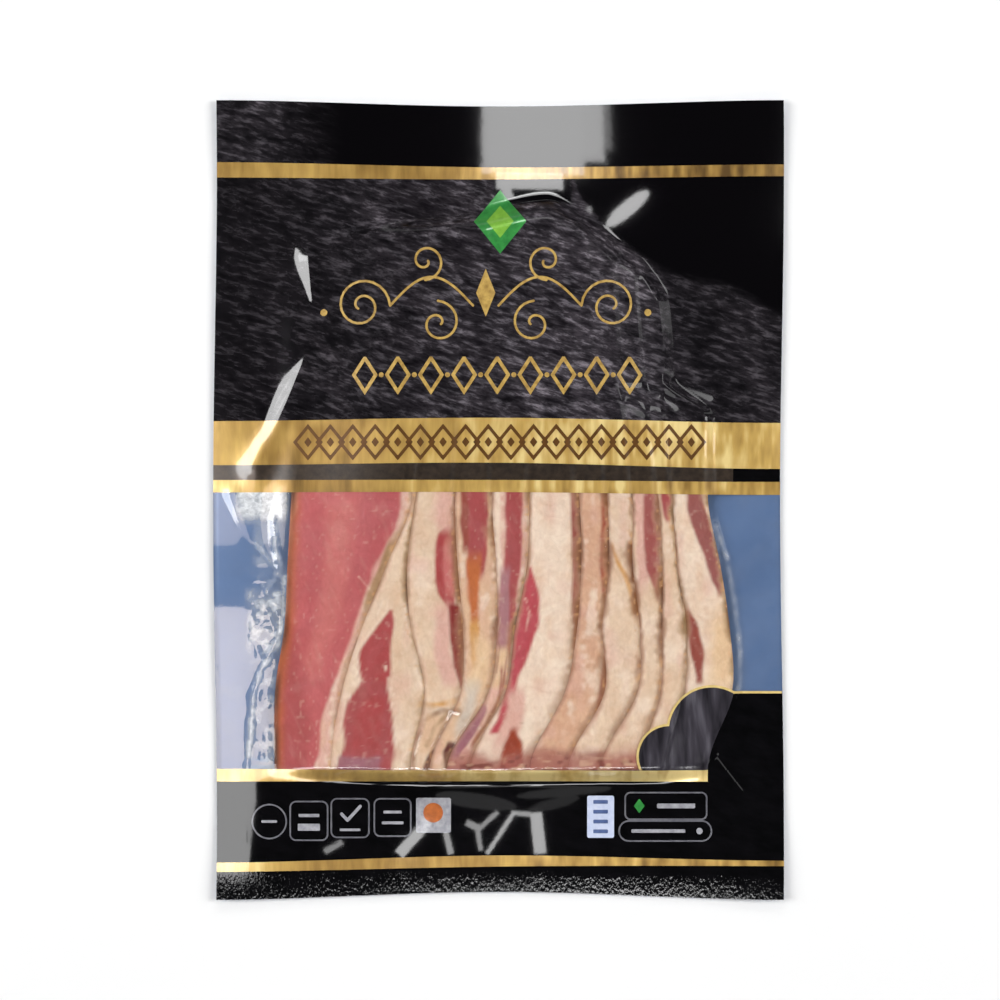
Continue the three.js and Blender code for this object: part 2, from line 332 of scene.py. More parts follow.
def distance_to_segment(x, y, start, end):
    along = share_along(x, y, start, end)
    return np.hypot(x - start[0] - along * (end[0] - start[0]), y - start[1] - along * (end[1] - start[1]))


def stack_share(x, y):
    """One at the middle of the stack, falling to zero where the film meets the rim."""
    left = ramp(-LEFT_SLOPE[0], LEFT_SLOPE[1], x - stack_left(y))
    right = ramp(-RIGHT_SLOPE[0], RIGHT_SLOPE[1], slice_right(SLICE_COUNT - 1, y) - x)
    top = ramp(-TOP_SLOPE[0], TOP_SLOPE[1], through(TOP_END_ACROSS, TOP_END, x) - y)
    foot = ramp(-BOTTOM_SLOPE[0], BOTTOM_SLOPE[1], y - through(FOOT_END_ACROSS, FOOT_END, x))
    return left * right * top * foot


def distance_to_line(x, y, points):
    segments = zip(points[:-1], points[1:])
    return np.minimum.reduce([distance_to_segment(x, y, start, end) for start, end in segments])


def fold_height(x, y):
    height = np.zeros_like(x)
    for points, rise, spread in FOLDS:
        height = height + rise * np.exp(-(distance_to_line(x, y, points) / spread) ** FOLD_POWER)
    return height


def crumple_height(x, y):
    """Crumples beside the stack, with soft limits on all sides."""
    across = ramp(*CRUMPLE_LIMITS["left"], x) * ramp(*CRUMPLE_LIMITS["right"], x)
    along = ramp(*CRUMPLE_LIMITS["bottom"], y) * ramp(*CRUMPLE_LIMITS["top"], y)
    coarse = np.abs(value_noise(x, y, CRUMPLE_CELL, 3))
    fine = np.abs(value_noise(x, y, CRUMPLE_CELL / CRUMPLE_FINER, 4))
    beside = ramp(*CRUMPLE_BESIDE, x - stack_left(y))
    return CRUMPLE_HEIGHT * (coarse + 0.5 * fine) * across * along * beside


def film_height(x, y):
    """Top of the front film."""
    rim = rim_underside(x, y) + RIM_FILM
    share = stack_share(x, y)
    taut = STEP_IN_WINDOW + (STEP_UNDER_PRINT - STEP_IN_WINDOW) * ramp(*PRINT_STARTS, y)
    surface = stack_surface(x, y) + slice_drop(x, y) * (1 - taut)
    height = rim + (surface - rim) * share
    for start, end, rise, first_spread, last_spread in RIDGES:
        spread = first_spread + (last_spread - first_spread) * share_along(x, y, start, end)
        tallest = rise * spread / max(first_spread, last_spread)
        height = height + tallest * np.exp(-(distance_to_segment(x, y, start, end) / spread) ** 2)
    for start, end, rise, spread in CREASES:
        height = height + rise * np.exp(-np.abs(distance_to_segment(x, y, start, end) / spread))
    height = height + fold_height(x, y) + crumple_height(x, y)
    lumps = sum(depth * value_noise(x, y, cell, n) for n, (depth, cell) in enumerate(LUMPS))
    ripples = RIPPLES[0] * value_noise(x, y, RIPPLES[1], 2)
    return height + lumps * share + ripples * (1 - share)


def bend_row(row, x):
    """Rows bend towards the pack's ends, whose cut edges aren't straight."""
    middle = np.cos(np.pi * x / PACK_WIDTH) ** 2
    towards_top = ramp(TOP_BEND_STARTS, PACK_LENGTH / 2, row)
    towards_bottom = ramp(BOTTOM_BEND_STARTS, -PACK_LENGTH / 2, row)
    return row - TOP_EDGE_SAG * middle * towards_top + BOTTOM_EDGE_RISE * middle * towards_bottom


def add_object(name, data):
    """Object of the scene for a mesh, a light or a camera."""
    holder = bpy.data.objects.new(name, data)
    bpy.context.scene.collection.objects.link(holder)
    return holder


def mesh_object(name, points, faces, flat_count=0):
    """New mesh object from points in millimetres. The last faces may be flat, the others are smooth."""
    mesh = bpy.data.meshes.new(name)
    mesh.from_pydata((np.asarray(points, float) * MM).tolist(), [], faces)
    mesh.validate()
    mesh.update()
    smooth_count = len(mesh.polygons) - flat_count
    mesh.polygons.foreach_set("use_smooth", [True] * smooth_count + [False] * flat_count)
    return add_object(name, mesh)


def closed_sheet(name, x, y, z_top, z_bottom, flat_walls):
    """Mesh between two surfaces over one grid, with walls around its rim."""
    count = x.size
    points = np.concatenate([np.stack([x, y, z], -1).reshape(-1, 3) for z in (z_top, z_bottom)])
    number = np.arange(count).reshape(x.shape)
    near, far = number[:-1], number[1:]
    quads = np.stack([near[:, :-1], near[:, 1:], far[:, 1:], far[:, :-1]], -1).reshape(-1, 4)
    rim = np.concatenate([number[0, :-1], number[:-1, -1], number[-1, :0:-1], number[:0:-1, 0]])
    following = np.roll(rim, -1)
    wall = np.stack([rim, rim + count, following + count, following], -1)
    faces = np.concatenate([quads, quads[:, ::-1] + count, wall]).tolist()
    return mesh_object(name, points, faces, len(wall) if flat_walls else 0)


def add_piece(piece, material):
    piece.data.materials.append(material)
    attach(piece, BODY)
    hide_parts(POUCH)
    return piece


class Surface:
    """Points and faces collected for one mesh."""

    def __init__(self):
        self.points = []
        self.faces = []

    def add_grid(self, x, y, z, field=None):
        """Adds a grid's cells, or only what lies where the field is positive, cut along its zero line."""
        if field is None:
            field = np.ones_like(x)
        field = np.where(np.abs(field) < LEAST_FIELD, LEAST_FIELD, field)
        numbers = {}

        def corner(i, j):
            key = (i, j)
            if key not in numbers:
                numbers[key] = len(self.points)
                self.points.append((x[key], y[key], z[key]))
            return numbers[key]

        def cut(first, second):
            key = (min(first, second), max(first, second))
            if key not in numbers:
                share = field[first] / (field[first] - field[second])
                start = np.array((x[first], y[first], z[first]))
                end = np.array((x[second], y[second], z[second]))
                numbers[key] = len(self.points)
                self.points.append(tuple(start + (end - start) * share))
            return numbers[key]

        inside = field > 0
        count = inside[:-1, :-1].astype(int) + inside[1:, :-1] + inside[1:, 1:] + inside[:-1, 1:]
        for i, j in np.argwhere(count > 0).tolist():
            ring = [(i, j), (i, j + 1), (i + 1, j + 1), (i + 1, j)]
            if count[i, j] == 4:
                self.faces.append([corner(*key) for key in ring])
                continue
            face = []
            for n, here in enumerate(ring):
                following = ring[(n + 1) % 4]
                if inside[here]:
                    face.append(corner(*here))
                if inside[here] != inside[following]:
                    face.append(cut(here, following))
            if len(face) > 2:
                self.faces.append(face)

    def make(self, name):
        return mesh_object(name, self.points, self.faces)


def strip_grid(lower, upper, cell=FILM_CELL):
    """Grid between two lines across the whole pack. Lines are functions of the place across."""
    columns = np.linspace(-1, 1, int(PACK_WIDTH / cell) + 1)
    across = columns * PACK_WIDTH / 2
    tallest = float(np.max(upper(across) - lower(across)))
    part = np.linspace(0, 1, max(2, int(tallest / cell)) + 1)[:, None]
    y = lower(across)[None, :] * (1 - part) + upper(across)[None, :] * part
    x = np.where(columns[None, :] < 0, -columns * side_edge(-1, y), columns * side_edge(1, y))
    return x, y, film_height(x, y)


def print_line(values):
    return lambda x: through(LINE_PLACES, values, x)


def top_edge(x):
    return bend_row(np.full_like(x, PACK_LENGTH / 2), x)


def bottom_edge(x):
    return bend_row(np.full_like(x, -PACK_LENGTH / 2), x)


def disc(x, y, centre, radius):
    return radius - np.hypot(x - centre[0], y - centre[1])


def plate(x, y, centre, width, height, corner=0.0):
    """Rounded rectangle."""
    out_x = np.abs(x - centre[0]) - width / 2 + corner
    out_y = np.abs(y - centre[1]) - height / 2 + corner
    outside = np.hypot(np.maximum(out_x, 0), np.maximum(out_y, 0))
    return corner - outside - np.minimum(np.maximum(out_x, out_y), 0)


def lozenge(x, y, centre, width, height):
    share = 1 - np.abs(x - centre[0]) / (width / 2) - np.abs(y - centre[1]) / (height / 2)
    return share * width * height / 2 / np.hypot(width, height)


def outline(field, width):
    return width / 2 - np.abs(field + width / 2)


def stroke(x, y, points, width):
    return width / 2 - distance_to_line(x, y, points)


def union(fields):
    """Field of several shapes together."""
    return np.maximum.reduce(fields)


def srgb(red, green, blue):
    """Linear colour from eight-bit sRGB values."""
    def linear(value):
        value = value / 255
        return value / 12.92 if value <= 0.04045 else ((value + 0.055) / 1.055) ** 2.4
    return (linear(red), linear(green), linear(blue), 1.0)


class Look:
    """One material, with short ways to add its nodes."""

    def __init__(self, name):
        self.material = bpy.data.materials.new(name)
        self.material.use_nodes = True
        self.nodes = self.material.node_tree.nodes
        self.links = self.material.node_tree.links
        self.nodes.clear()

    def plug(self, socket, value):
        """Links an output to a socket, or sets the socket's own value."""
        if hasattr(value, "is_linked"):
            self.links.new(value, socket)
        else:
            socket.default_value = value

    def node(self, kind, output, inputs, **settings):
        """Adds a node, fills its named or numbered inputs, and returns one of its outputs."""
        node = self.nodes.new("ShaderNode" + kind)
        for name, value in settings.items():
            setattr(node, name, value)
        for name, value in inputs.items():
            self.plug(node.inputs[name], value)
        return node.outputs[output]

    def noise(self, scale, detail=3.0, roughness=0.5, stretch=(1, 1, 1), turn=0.0, distortion=0.0):
        """Noise in the object's own coordinates, drawn out along the turned axes."""
        place = self.node("TexCoord", "Object", {})
        drawn_out = {"Vector": place, "Scale": stretch, "Rotation": (0, 0, turn)}
        vector = self.node("Mapping", "Vector", drawn_out, vector_type="TEXTURE")
        grain = {"Vector": vector, "Scale": scale, "Detail": detail, "Roughness": roughness}
        return self.node("TexNoise", "Fac", {**grain, "Distortion": distortion})

    def attribute(self, name, output="Fac"):
        """Values that the mesh carries at its points."""
        return self.node("Attribute", output, {}, attribute_name=name)

    def ramp(self, value, stops):
        node = self.nodes.new("ShaderNodeValToRGB")
        elements = node.color_ramp.elements
        while len(elements) < len(stops):
            elements.new(0.5)
        for element, (place, colour) in zip(elements, stops):
            element.position = place
            element.color = colour
        self.links.new(value, node.inputs["Fac"])
        return node.outputs["Color"]

    def mix(self, kind, factor, first, second):
        node = self.nodes.new("ShaderNodeMix")
        node.data_type = "RGBA"
        node.blend_type = kind
        for name, value in (("Factor", factor), ("A", first), ("B", second)):
            enabled = [socket for socket in node.inputs if socket.name == name and socket.enabled]
            self.plug(enabled[0], value)
        return [socket for socket in node.outputs if socket.enabled][0]

    def bump(self, height, strength, distance, under=None):
        """Bumps of a height, on top of another normal if one is given."""
        inputs = {"Height": height, "Strength": strength, "Distance": distance}
        if under is not None:
            inputs["Normal"] = under
        return self.node("Bump", "Normal", inputs)

    def wrinkles(self):
        """Fine wrinkles shared by every film surface."""
        broad = self.bump(self.noise(60, distortion=0.4), strength=0.5, distance=0.00007)
        crinkle = self.noise(500, roughness=0.6, stretch=(1, 0.5, 1), turn=0.5)
        return self.bump(crinkle, strength=0.3, distance=0.00002, under=broad)

    def finish(self, surface):
        output = self.nodes.new("ShaderNodeOutputMaterial")
        self.links.new(surface, output.inputs["Surface"])
        return self.material

    def principled(self, inputs):
        return self.finish(self.node("BsdfPrincipled", "BSDF", inputs))


def grey(value):
    return (value, value, value, 1)


def black_print():
    """Glossy black ink. The seal at the foot has the fine grain that the sealing jaws leave."""
    look = Look("black_print")
    mottle = look.noise(260, 4, 0.65, stretch=(2.2, 1, 1), turn=-0.35)
    grain = look.noise(800, 2, 0.7, stretch=(0.7, 1.5, 1))
    pressed = look.node("Math", "Value", {0: grain, 1: look.attribute("seal")}, operation="MULTIPLY")
    return look.principled({
        "Base Color": look.ramp(mottle, [(0.35, srgb(4, 4, 5)), (0.75, srgb(12, 11, 14))]),
        "Roughness": 0.07,
        "Normal": look.bump(pressed, strength=1.0, distance=0.00022, under=look.wrinkles()),
    })


def slate_print():
    """Black print with soft slanting scratches like those of a slate board, strongest in the middle."""
    look = Look("slate_print")
    scratches = look.noise(620, 4, 0.66, stretch=(3.6, 1, 1), turn=-0.28, distortion=0.25)
    smudges = look.noise(210, 4, 0.64, stretch=(2.2, 1, 1), turn=-0.4, distortion=0.6)
    clouds = look.noise(40, 3, 0.6)
    tones = [(0.34, srgb(28, 26, 29)), (0.52, srgb(54, 51, 54)), (0.7, srgb(118, 114, 118))]
    soft = look.ramp(smudges, [(0.34, (0.4, 0.4, 0.42, 1)), (0.7, (1.7, 1.65, 1.7, 1))])
    broad = look.ramp(clouds, [(0.3, (0.7, 0.7, 0.72, 1)), (0.7, (1.3, 1.28, 1.3, 1))])
    slate = look.mix("MULTIPLY", 1.0, look.ramp(scratches, tones), soft)
    slate = look.mix("MULTIPLY", 1.0, slate, broad)
    shine = {"Value": look.attribute("matt"), "To Min": 0.5, "To Max": 0.08}
    return look.principled({
        "Base Color": look.mix("MIX", look.attribute("slate"), srgb(5, 4, 6), slate),
        "Specular IOR Level": look.node("MapRange", "Result", shine),
        "Roughness": 0.08,
        "Normal": look.wrinkles(),
    })


def gold_print():
    """Gold ink with painted sheen from the mesh: lighter and darker pleats, line ends and patches stand in
    for reflections on it.
    """
    look = Look("gold_print")
    # Streaks and the mesh's painted sheen lighten and darken the gold as reflections would
    streaks = look.noise(160, 4, 0.6, stretch=(0.6, 4.0, 1), distortion=0.3)
    streaked = {0: streaks, 1: 0.5, 2: look.attribute("painted_sheen")}
    painted_sheen = look.node("Math", "Value", streaked, operation="MULTIPLY_ADD")
    dark_golds = [(0.3, srgb(92, 68, 34)), (0.55, srgb(158, 124, 64))]
    light_golds = [(0.8, srgb(204, 168, 94)), (1.0, srgb(240, 214, 144))]
    normal = look.wrinkles()
    return look.principled({
        "Base Color": look.ramp(painted_sheen, dark_golds + light_golds),
        "Metallic": 0.15,
        "Roughness": 0.32,
        "Coat Weight": 0.8,
        "Coat Roughness": 0.06,
        "Normal": normal,
        "Coat Normal": normal,
    })


def pleated_print():
    """Dark grey print that has shrunk into fine upright pleats over the slices, its colour painted lighter
    and darker along them as their shade.
    """
    look = Look("pleated_print")
    pleats = look.noise(240, stretch=(1, 7, 1), turn=0.08, distortion=0.2)
    # Painted shade: the colour follows the same noise as the pleats' bumps
    tones = [(0.35, srgb(34, 32, 37)), (0.55, srgb(62, 59, 66)), (0.72, srgb(96, 93, 101))]
    return look.principled({
        "Base Color": look.ramp(pleats, tones),
        "Roughness": 0.2,
        "Normal": look.bump(pleats, strength=0.6, distance=0.0003, under=look.wrinkles()),
    })


def flat_print(name, colour, darker):
    """Printed colour under clear film, with the slight mottle of ink."""
    look = Look(name)
    mottle = look.noise(500, roughness=0.6)
    return look.principled({
        "Base Color": look.ramp(mottle, [(0.3, srgb(*darker)), (0.7, srgb(*colour))]),
        "Roughness": 0.35,
        "Coat Weight": 0.5,
        "Coat Roughness": 0.08,
        "Normal": look.wrinkles(),
    })


def film_reflection(look, normal):
    """Share of light that a thin film reflects, the same from both of its sides."""
    facing = look.node("LayerWeight", "Facing", {"Blend": 0.5, "Normal": normal})
    steep = look.node("Math", "Value", {0: facing, 1: 5.0}, operation="POWER")
    return look.node("MapRange", "Result", {"Value": steep, "To Min": 0.055, "To Max": 0.8})


def clear_film():
    """Clear film: mostly see-through, with sharp reflections, whitened where it is crumpled, and with
    painted highlights along its bright folds.
    """
    look = Look("clear_film")
    normal = look.wrinkles()
    see_through = look.node("BsdfTransparent", "BSDF", {"Color": (0.965, 0.975, 0.985, 1)})
    haze_and_highlight = look.node("BsdfDiffuse", "BSDF", {"Color": (0.8, 0.82, 0.84, 1), "Normal": normal})
    gloss = look.node("BsdfGlossy", "BSDF", {"Roughness": 0.07, "Normal": normal})
    scuffs = look.noise(70, 5, 0.65, distortion=1.0)
    scuff_share = look.ramp(scuffs, [(0.45, grey(0.006)), (0.8, grey(0.045))])
    flakes = {"Value": look.noise(520, 4, 0.7, distortion=0.6), "From Min": 0.32, "From Max": 0.68}
    flake_share = look.node("MapRange", "Result", {**flakes, "To Min": 0.5, "To Max": 1.25})
    # The mesh's whitening is partly crumpled film and partly painted highlight
    whitened = {0: look.attribute("haze_and_highlight"), 1: flake_share, 2: scuff_share}
    haze_and_highlight_share = look.node("Math", "Value", whitened, operation="MULTIPLY_ADD", use_clamp=True)
    body = look.node("MixShader", "Shader", {"Fac": haze_and_highlight_share, 1: see_through, 2: haze_and_highlight})
    shares = {"Fac": film_reflection(look, normal), 1: body, 2: gloss}
    return look.finish(look.node("MixShader", "Shader", shares))


def blue_film():
    look = Look("blue_film")
    tones = [(0.3, srgb(84, 108, 146)), (0.7, srgb(98, 122, 160))]
    return look.principled({
        "Base Color": look.ramp(look.noise(45, 4, 0.6), tones),
        "Roughness": 0.45,
        "Normal": look.wrinkles(),
    })


def meat():
    """Moist cured meat. The meshes carry its lean, fat and crust, and this adds fibre and marbling."""
    look = Look("bacon_meat")
    fibres = look.noise(520, 4, 0.6, stretch=(0.8, 1.5, 1), distortion=0.8)
    blotches = look.noise(150, 4, 0.6, distortion=1.2)
    light = (0.7, (1.05, 1.05, 1.05, 1))
    fibre_tone = look.ramp(fibres, [(0.3, (0.93, 0.90, 0.88, 1)), light])
    blotch_tone = look.ramp(blotches, [(0.3, (0.93, 0.86, 0.83, 1)), light])
    colour = look.mix("MULTIPLY", 1.0, look.attribute("meat_colour", "Color"), fibre_tone)
    return look.principled({
        "Base Color": look.mix("MULTIPLY", 1.0, colour, blotch_tone),
        "Roughness": 0.45,
        "Specular IOR Level": 0.3,
        "Subsurface Weight": 0.1,
        "Subsurface Radius": (1.0, 0.45, 0.3),
        "Subsurface Scale": 0.0015,
        "Normal": look.bump(blotches, strength=0.5, distance=0.0006),
    })


# Colours of the meat
CREAM = (232, 206, 178)
PALE = (243, 222, 200)
TAN = (226, 190, 156)
PINK_FAT = (226, 182, 166)
WARM_CREAM = (236, 204, 164)
PINK = (193, 99, 100)
LIGHT_PINK = (202, 116, 112)
DEEP_PINK = (172, 82, 82)
ROSE = (190, 78, 86)
RED = (174, 74, 74)
MUTED_RED = (156, 92, 86)
FADED_RED = (164, 88, 82)
WARM_TAN = (218, 174, 144)
PINK_SHADE = (186, 92, 94)
PINK_LIGHT = (200, 112, 108)
DARK_RED = (138, 46, 42)
BROWN_RED = (154, 78, 66)
RUST = (156, 64, 36)
ORANGE = (198, 114, 66)
GOLDEN = (216, 162, 96)
BROWN = (138, 88, 50)
OLIVE = (156, 122, 78)
SOFT_OLIVE = (176, 140, 102)
DARK_BROWN = (92, 56, 36)
SHADOW = (94, 38, 28)
SPECK = (222, 170, 116)
GREY_FILM = (216, 200, 182)
MAUVE = (176, 124, 128)
PURPLE = (162, 106, 116)

SLICE_FAT = [PINK_FAT, CREAM, CREAM, TAN, PINK_FAT, PALE, WARM_TAN, CREAM, CREAM, CREAM, PALE]

# Coloured stretches of each slice, numbered from the left: a colour, how soft its sides are,
# how far its ends fade, and heights up the pack with the places of its left and right sides
STRETCHES = [
    (0, PINK, 1.2, 1, [(96, -64, -30.5), (1, -63.5, -30.5), (-10, -65.1, -33.2), (-19, -66, -38.4),
     (-26, -66, -40.6), (-32, -66.2, -42.6), (-39, -66.8, -45.2), (-50, -68, -49), (-63, -69.6, -54),
     (-73, -70.2, -56), (-87, -71, -57.4)]),
    (0, PINK_SHADE, 4.5, 8, [(14, -42, -30), (0, -42, -30.4), (-10, -43, -33.4), (-19, -45, -38.4),
     (-30, -47, -42)]),
    (0, PINK_SHADE, 3.2, 8, [(0, -60, -54), (-20, -60.5, -54), (-40, -61, -55), (-54, -62, -57)]),
    (0, PINK_LIGHT, 4.0, 8, [(0, -54, -45), (-20, -55, -47), (-40, -58, -51), (-54, -62, -56)]),
    (0, DEEP_PINK, 4.0, 6, [(-42, -71, -63), (-60, -71, -61), (-72, -72, -59), (-87, -72, -60)]),
    (0, SOFT_OLIVE, 1.2, 4, [(-13, -34.8, -32.6), (-20, -37, -34.8), (-27, -40.2, -36.6),
     (-34, -42.4, -40.6)]),
    (1, RED, 0.6, 1.2, [(-34.5, -34.6, -33.2), (-37.5, -36.4, -33.0), (-42.7, -40, -33.2),
     (-48, -43.4, -34), (-55, -43.6, -34), (-58.6, -42.3, -35)]),
    (1, DEEP_PINK, 0.6, 1.2, [(-56.5, -43.4, -35.0), (-63.7, -47.2, -34), (-69.8, -48.6, -33),
     (-76.8, -48.4, -32.8), (-87, -51, -33.4)]),
    (1, RED, 1.6, 3, [(-62, -42, -36), (-70, -45, -37), (-78, -46, -38)]),
    (1, PURPLE, 1.4, 1.5, [(-81, -50, -37), (-84, -50.6, -37), (-88, -51, -37)]),
    (2, RED, 0.6, 2, [(-6, -15, -14.2), (-11, -18.9, -13.5), (-20, -19.8, -13.7), (-28.7, -19, -13.7),
     (-35, -15.9, -14)]),
    (2, LIGHT_PINK, 0.8, 3, [(-13, -16.8, -14.8), (-21, -17.3, -14.9), (-29, -16.4, -14.4)]),
    (2, PINK_FAT, 1.6, 4, [(4, -19, -13), (-9, -19, -13.4)]),
    (2, PINK_FAT, 1.6, 4, [(-33, -20, -14.6), (-46, -20, -15), (-58, -18, -13)]),
    (2, DARK_RED, 0.5, 1.5, [(-33, -15.6, -12.0), (-38, -15.4, -11), (-46, -15, -10.8),
     (-52, -13.8, -11), (-59, -12, -11.5)]),
    (2, BROWN, 0.6, 3, [(2, -13.2, -11.8), (-10, -13.6, -12.6), (-22, -13.3, -12.4),
     (-33, -12.9, -12.1)]),
    (2, TAN, 1.6, 3, [(-67.5, -23, -12), (-73, -24, -14), (-79, -25, -17)]),
    (2, SHADOW, 0.8, 1.5, [(-76.5, -18.5, -16), (-79, -21, -15), (-82, -23, -16), (-88, -25, -17)]),
    (3, SHADOW, 0.8, 1.5, [(-76.5, -16, -13.6), (-79, -17, -12.2), (-82, -17, -12.8), (-88, -18, -15)]),
    (3, BROWN_RED, 0.8, 4, [(96, -12.2, -8.6), (2, -12.2, -8.6), (-8, -11.8, -8.6), (-16, -11.2, -8.4)]),
    (3, DEEP_PINK, 0.7, 5, [(96, -10, -3.6), (2, -10, -3.6), (-7, -9.4, -3), (-16, -9.4, -3.6),
     (-24, -9.6, -4.6)]),
    (3, ORANGE, 1.2, 6, [(-18, -9.8, -5.4), (-26, -9.4, -5.8), (-34, -9.0, -6.4), (-46, -8.2, -6.9)]),
    (3, GOLDEN, 0.9, 4, [(-38, -9.4, -6.4), (-46, -8.8, -6.2), (-53, -8.6, -6)]),
    (3, WARM_CREAM, 2.4, 6, [(-44, -8, -3), (-52, -8, -3), (-60, -10, -4)]),
    (3, GREY_FILM, 2.0, 6, [(-58, -11, -6), (-64, -11, -7), (-74, -14, -11)]),
    (4, PALE, 0.8, 8, [(8, -3.8, 0.4), (-18, -3.2, 0.8), (-40, -2.6, 1.2)]),
    (4, DEEP_PINK, 0.7, 4, [(96, 2, 7.3), (2, 2, 7.3), (-11, 2, 7.2), (-24, 2, 6.6), (-32, 2.4, 5.6),
     (-42, 2.6, 4.6), (-49, 2.6, 3.4)]),
    (4, MAUVE, 0.7, 4, [(-22, 0.6, 3.6), (-30, 0, 3.4), (-40, -0.4, 3), (-49, -0.4, 2.4)]),
    (4, WARM_CREAM, 1.4, 3, [(-47, -4.5, 2.4), (-54, -4, 2), (-59, -5, 1)]),
    (4, PURPLE, 0.9, 3, [(-64, -7, -3.8), (-70, -9.4, -5.4), (-76, -12.6, -9), (-81, -15, -12.4)]),
    (4, BROWN_RED, 0.5, 3, [(-52, 0.6, 1.4), (-62, -0.4, 0.6), (-70, -4.4, -3), (-78, -9, -7.6)]),
    (5, ROSE, 0.6, 1.5, [(-21.5, 9.6, 10.3), (-25, 8.4, 11.5), (-30, 5.6, 12.8), (-37.5, 4.4, 12.7),
     (-44.5, 3.6, 10.9), (-50.6, 2.8, 8.6), (-55, 2, 6.4), (-62, 1.2, 5.1), (-68, 0, 3.6),
     (-74, -3, 0.6)]),
    (5, PINK_FAT, 1.4, 5, [(-60, 3.4, 8), (-68, 2, 7.6), (-78, -2, 5)]),
    (5, RUST, 0.9, 2, [(-72, 3.4, 5.4), (-77, 1.6, 7.4), (-82, 0.8, 8), (-87, 0, 8)]),
    (5, BROWN_RED, 0.7, 5, [(96, 22.2, 26.4), (1.9, 22.2, 26.4), (-11, 22.8, 26), (-20, 22.8, 26),
     (-33, 23, 25.8), (-47, 23.6, 24.8)]),
    (6, RUST, 0.6, 3, [(96, 32, 35), (2, 32, 35), (-9, 32.1, 35.1), (-20, 31.8, 34.8),
     (-28, 32.4, 34.5), (-33, 33.2, 34)]),
    (6, ORANGE, 0.6, 3, [(-8, 33.2, 34.5), (-18, 33, 34.6), (-27, 33, 34.2)]),
    (6, BROWN_RED, 0.8, 3, [(-50, 33, 34.2), (-57, 32.2, 35), (-65, 30.8, 34.4), (-72, 28.6, 32),
     (-80, 24.6, 27.6)]),
    (7, GOLDEN, 0.4, 2, [(-13, 35.2, 36), (-19, 36.6, 37.8), (-25, 39.6, 41.2), (-31, 41.2, 42.4),
     (-36, 42, 43)]),
    (8, PINK_FAT, 1.0, 4, [(6, 43, 46.4), (-14, 43.2, 46.4), (-26, 44.2, 47.4)]),
    (8, FADED_RED, 0.8, 3, [(96, 45.8, 50.3), (2, 45.8, 50.3), (-9, 45.5, 50.9), (-18, 46, 50.9),
     (-25, 47.4, 50.9), (-31, 49.6, 50.6)]),
    (9, DEEP_PINK, 0.6, 2.5, [(96, 51.3, 54.6), (2, 51.3, 54.6), (-3, 51.6, 54.4), (-7, 52.4, 54.2)]),
    (10, MUTED_RED, 0.8, 2, [(96, 59.4, 65), (2, 59.4, 64.4), (-6.8, 60.7, 66.4), (-13, 63, 68),
     (-19, 65.2, 69.8), (-25, 67.4, 70.6), (-30, 69.2, 70.4)]),
    (10, BROWN_RED, 0.7, 2.5, [(-34, 58.6, 60.2), (-39, 59, 62.3), (-46, 60, 64.2), (-52, 61.4, 64.5),
     (-57, 62.5, 64)]),
    (10, WARM_CREAM, 4.0, 10, [(-34, 68, 75), (-46, 67, 75), (-60, 66, 75)]),
]

# Short pale sinews and brown folds drawn over the slices: colour, width and points
STROKES = [
    (PALE, 0.6, [(-35.5, -52), (-34.2, -58), (-32.6, -62)]),
    (PALE, 0.6, [(-41.8, -43.5), (-38.5, -39), (-35, -34.5), (-34.8, -31)]),
    (PALE, 0.5, [(-44, -24), (-40, -28.5), (-38, -33)]),
    (PALE, 0.5, [(-38, -36), (-36.5, -32), (-35.8, -27)]),
    (BROWN, 1.9, [(-12.5, -66.0), (-18, -66.2), (-23.0, -69), (-26.2, -76), (-27.4, -87)]),
    (OLIVE, 1.6, [(-16, -67), (-20, -71), (-22.5, -77)]),
    (GOLDEN, 2.2, [(-25, -64.0), (-20.6, -64.2), (-14, -63.4)]),
    (PINK_FAT, 0.7, [(5.6, -33), (6.4, -38)]),
    (PINK_FAT, 0.8, [(8.5, -31), (9.8, -36), (8.6, -41)]),
    (PALE, 0.7, [(0.6, -37), (-0.4, -42), (-1.4, -47)]),
    (BROWN, 0.7, [(-1.6, -40), (0.4, -46), (-0.6, -54)]),
    (BROWN_RED, 0.6, [(2.6, -49), (1.2, -60), (-2.6, -68), (-7.5, -76)]),
]

# Crust along the right side of each slice: its colour, width and strength
CRUSTS = [
    (SOFT_OLIVE, 1.5, 0.7), (OLIVE, 1.5, 0.85), (BROWN, 1.5, 0.75), (BROWN, 1.5, 0.8), (OLIVE, 1.6, 0.85),
    (BROWN, 2.0, 0.9), (BROWN, 2.3, 1.0), (BROWN, 2.2, 1.0), (BROWN, 2.1, 1.0), (OLIVE, 2.0, 1.0),
    (OLIVE, 1.4, 0.9),
]
FOOT_CRUST = {"colour": (166, 96, 84), "dark": (120, 56, 46), "reach": 9.5, "from_slice": 4}
LEFT_CRUST = {"colour": (184, 100, 54), "width": 3.6, "edge_colour": (80, 44, 28), "edge_width": 1.7}


def linear_colour(colour):
    return np.array(srgb(*colour)[:3])


def blend_in(colours, cover, colour):
    cover = np.clip(cover, 0, 1)[..., None]
    return colours * (1 - cover) + linear_colour(colour) * cover


def stretch_cover(x, y, soft, fade, rows, wobble):
    """How much a coloured stretch covers each point: soft sides and ends, moved about by noise."""
    heights = [row[0] for row in rows]
    left = through(heights, [row[1] for row in rows], y)
    right = through(heights, [row[2] for row in rows], y)
    across = np.minimum(x - left, right - x) + wobble * min(1.0, soft)
    along = np.minimum(heights[0] - y, y - heights[-1]) + wobble * min(1.5, fade)
    half = max(0.7, soft * 0.7)
    return ramp(-half, half, across) * ramp(-0.6 * fade, 0.6 * fade, along)


# Noise layers of the meat, one for each slice from these numbers on
CLOUD_LAYER, BLUSH_LAYER, CRUST_LAYER, CRUST_SPOT_LAYER, DARK_LAYER = 20, 30, 40, 60, 100
CRUST_FADES = (-66, -30)


def blend_layers(colours, layers):
    for cover, colour in layers:
        colours = blend_in(colours, cover, colour)
    return colours


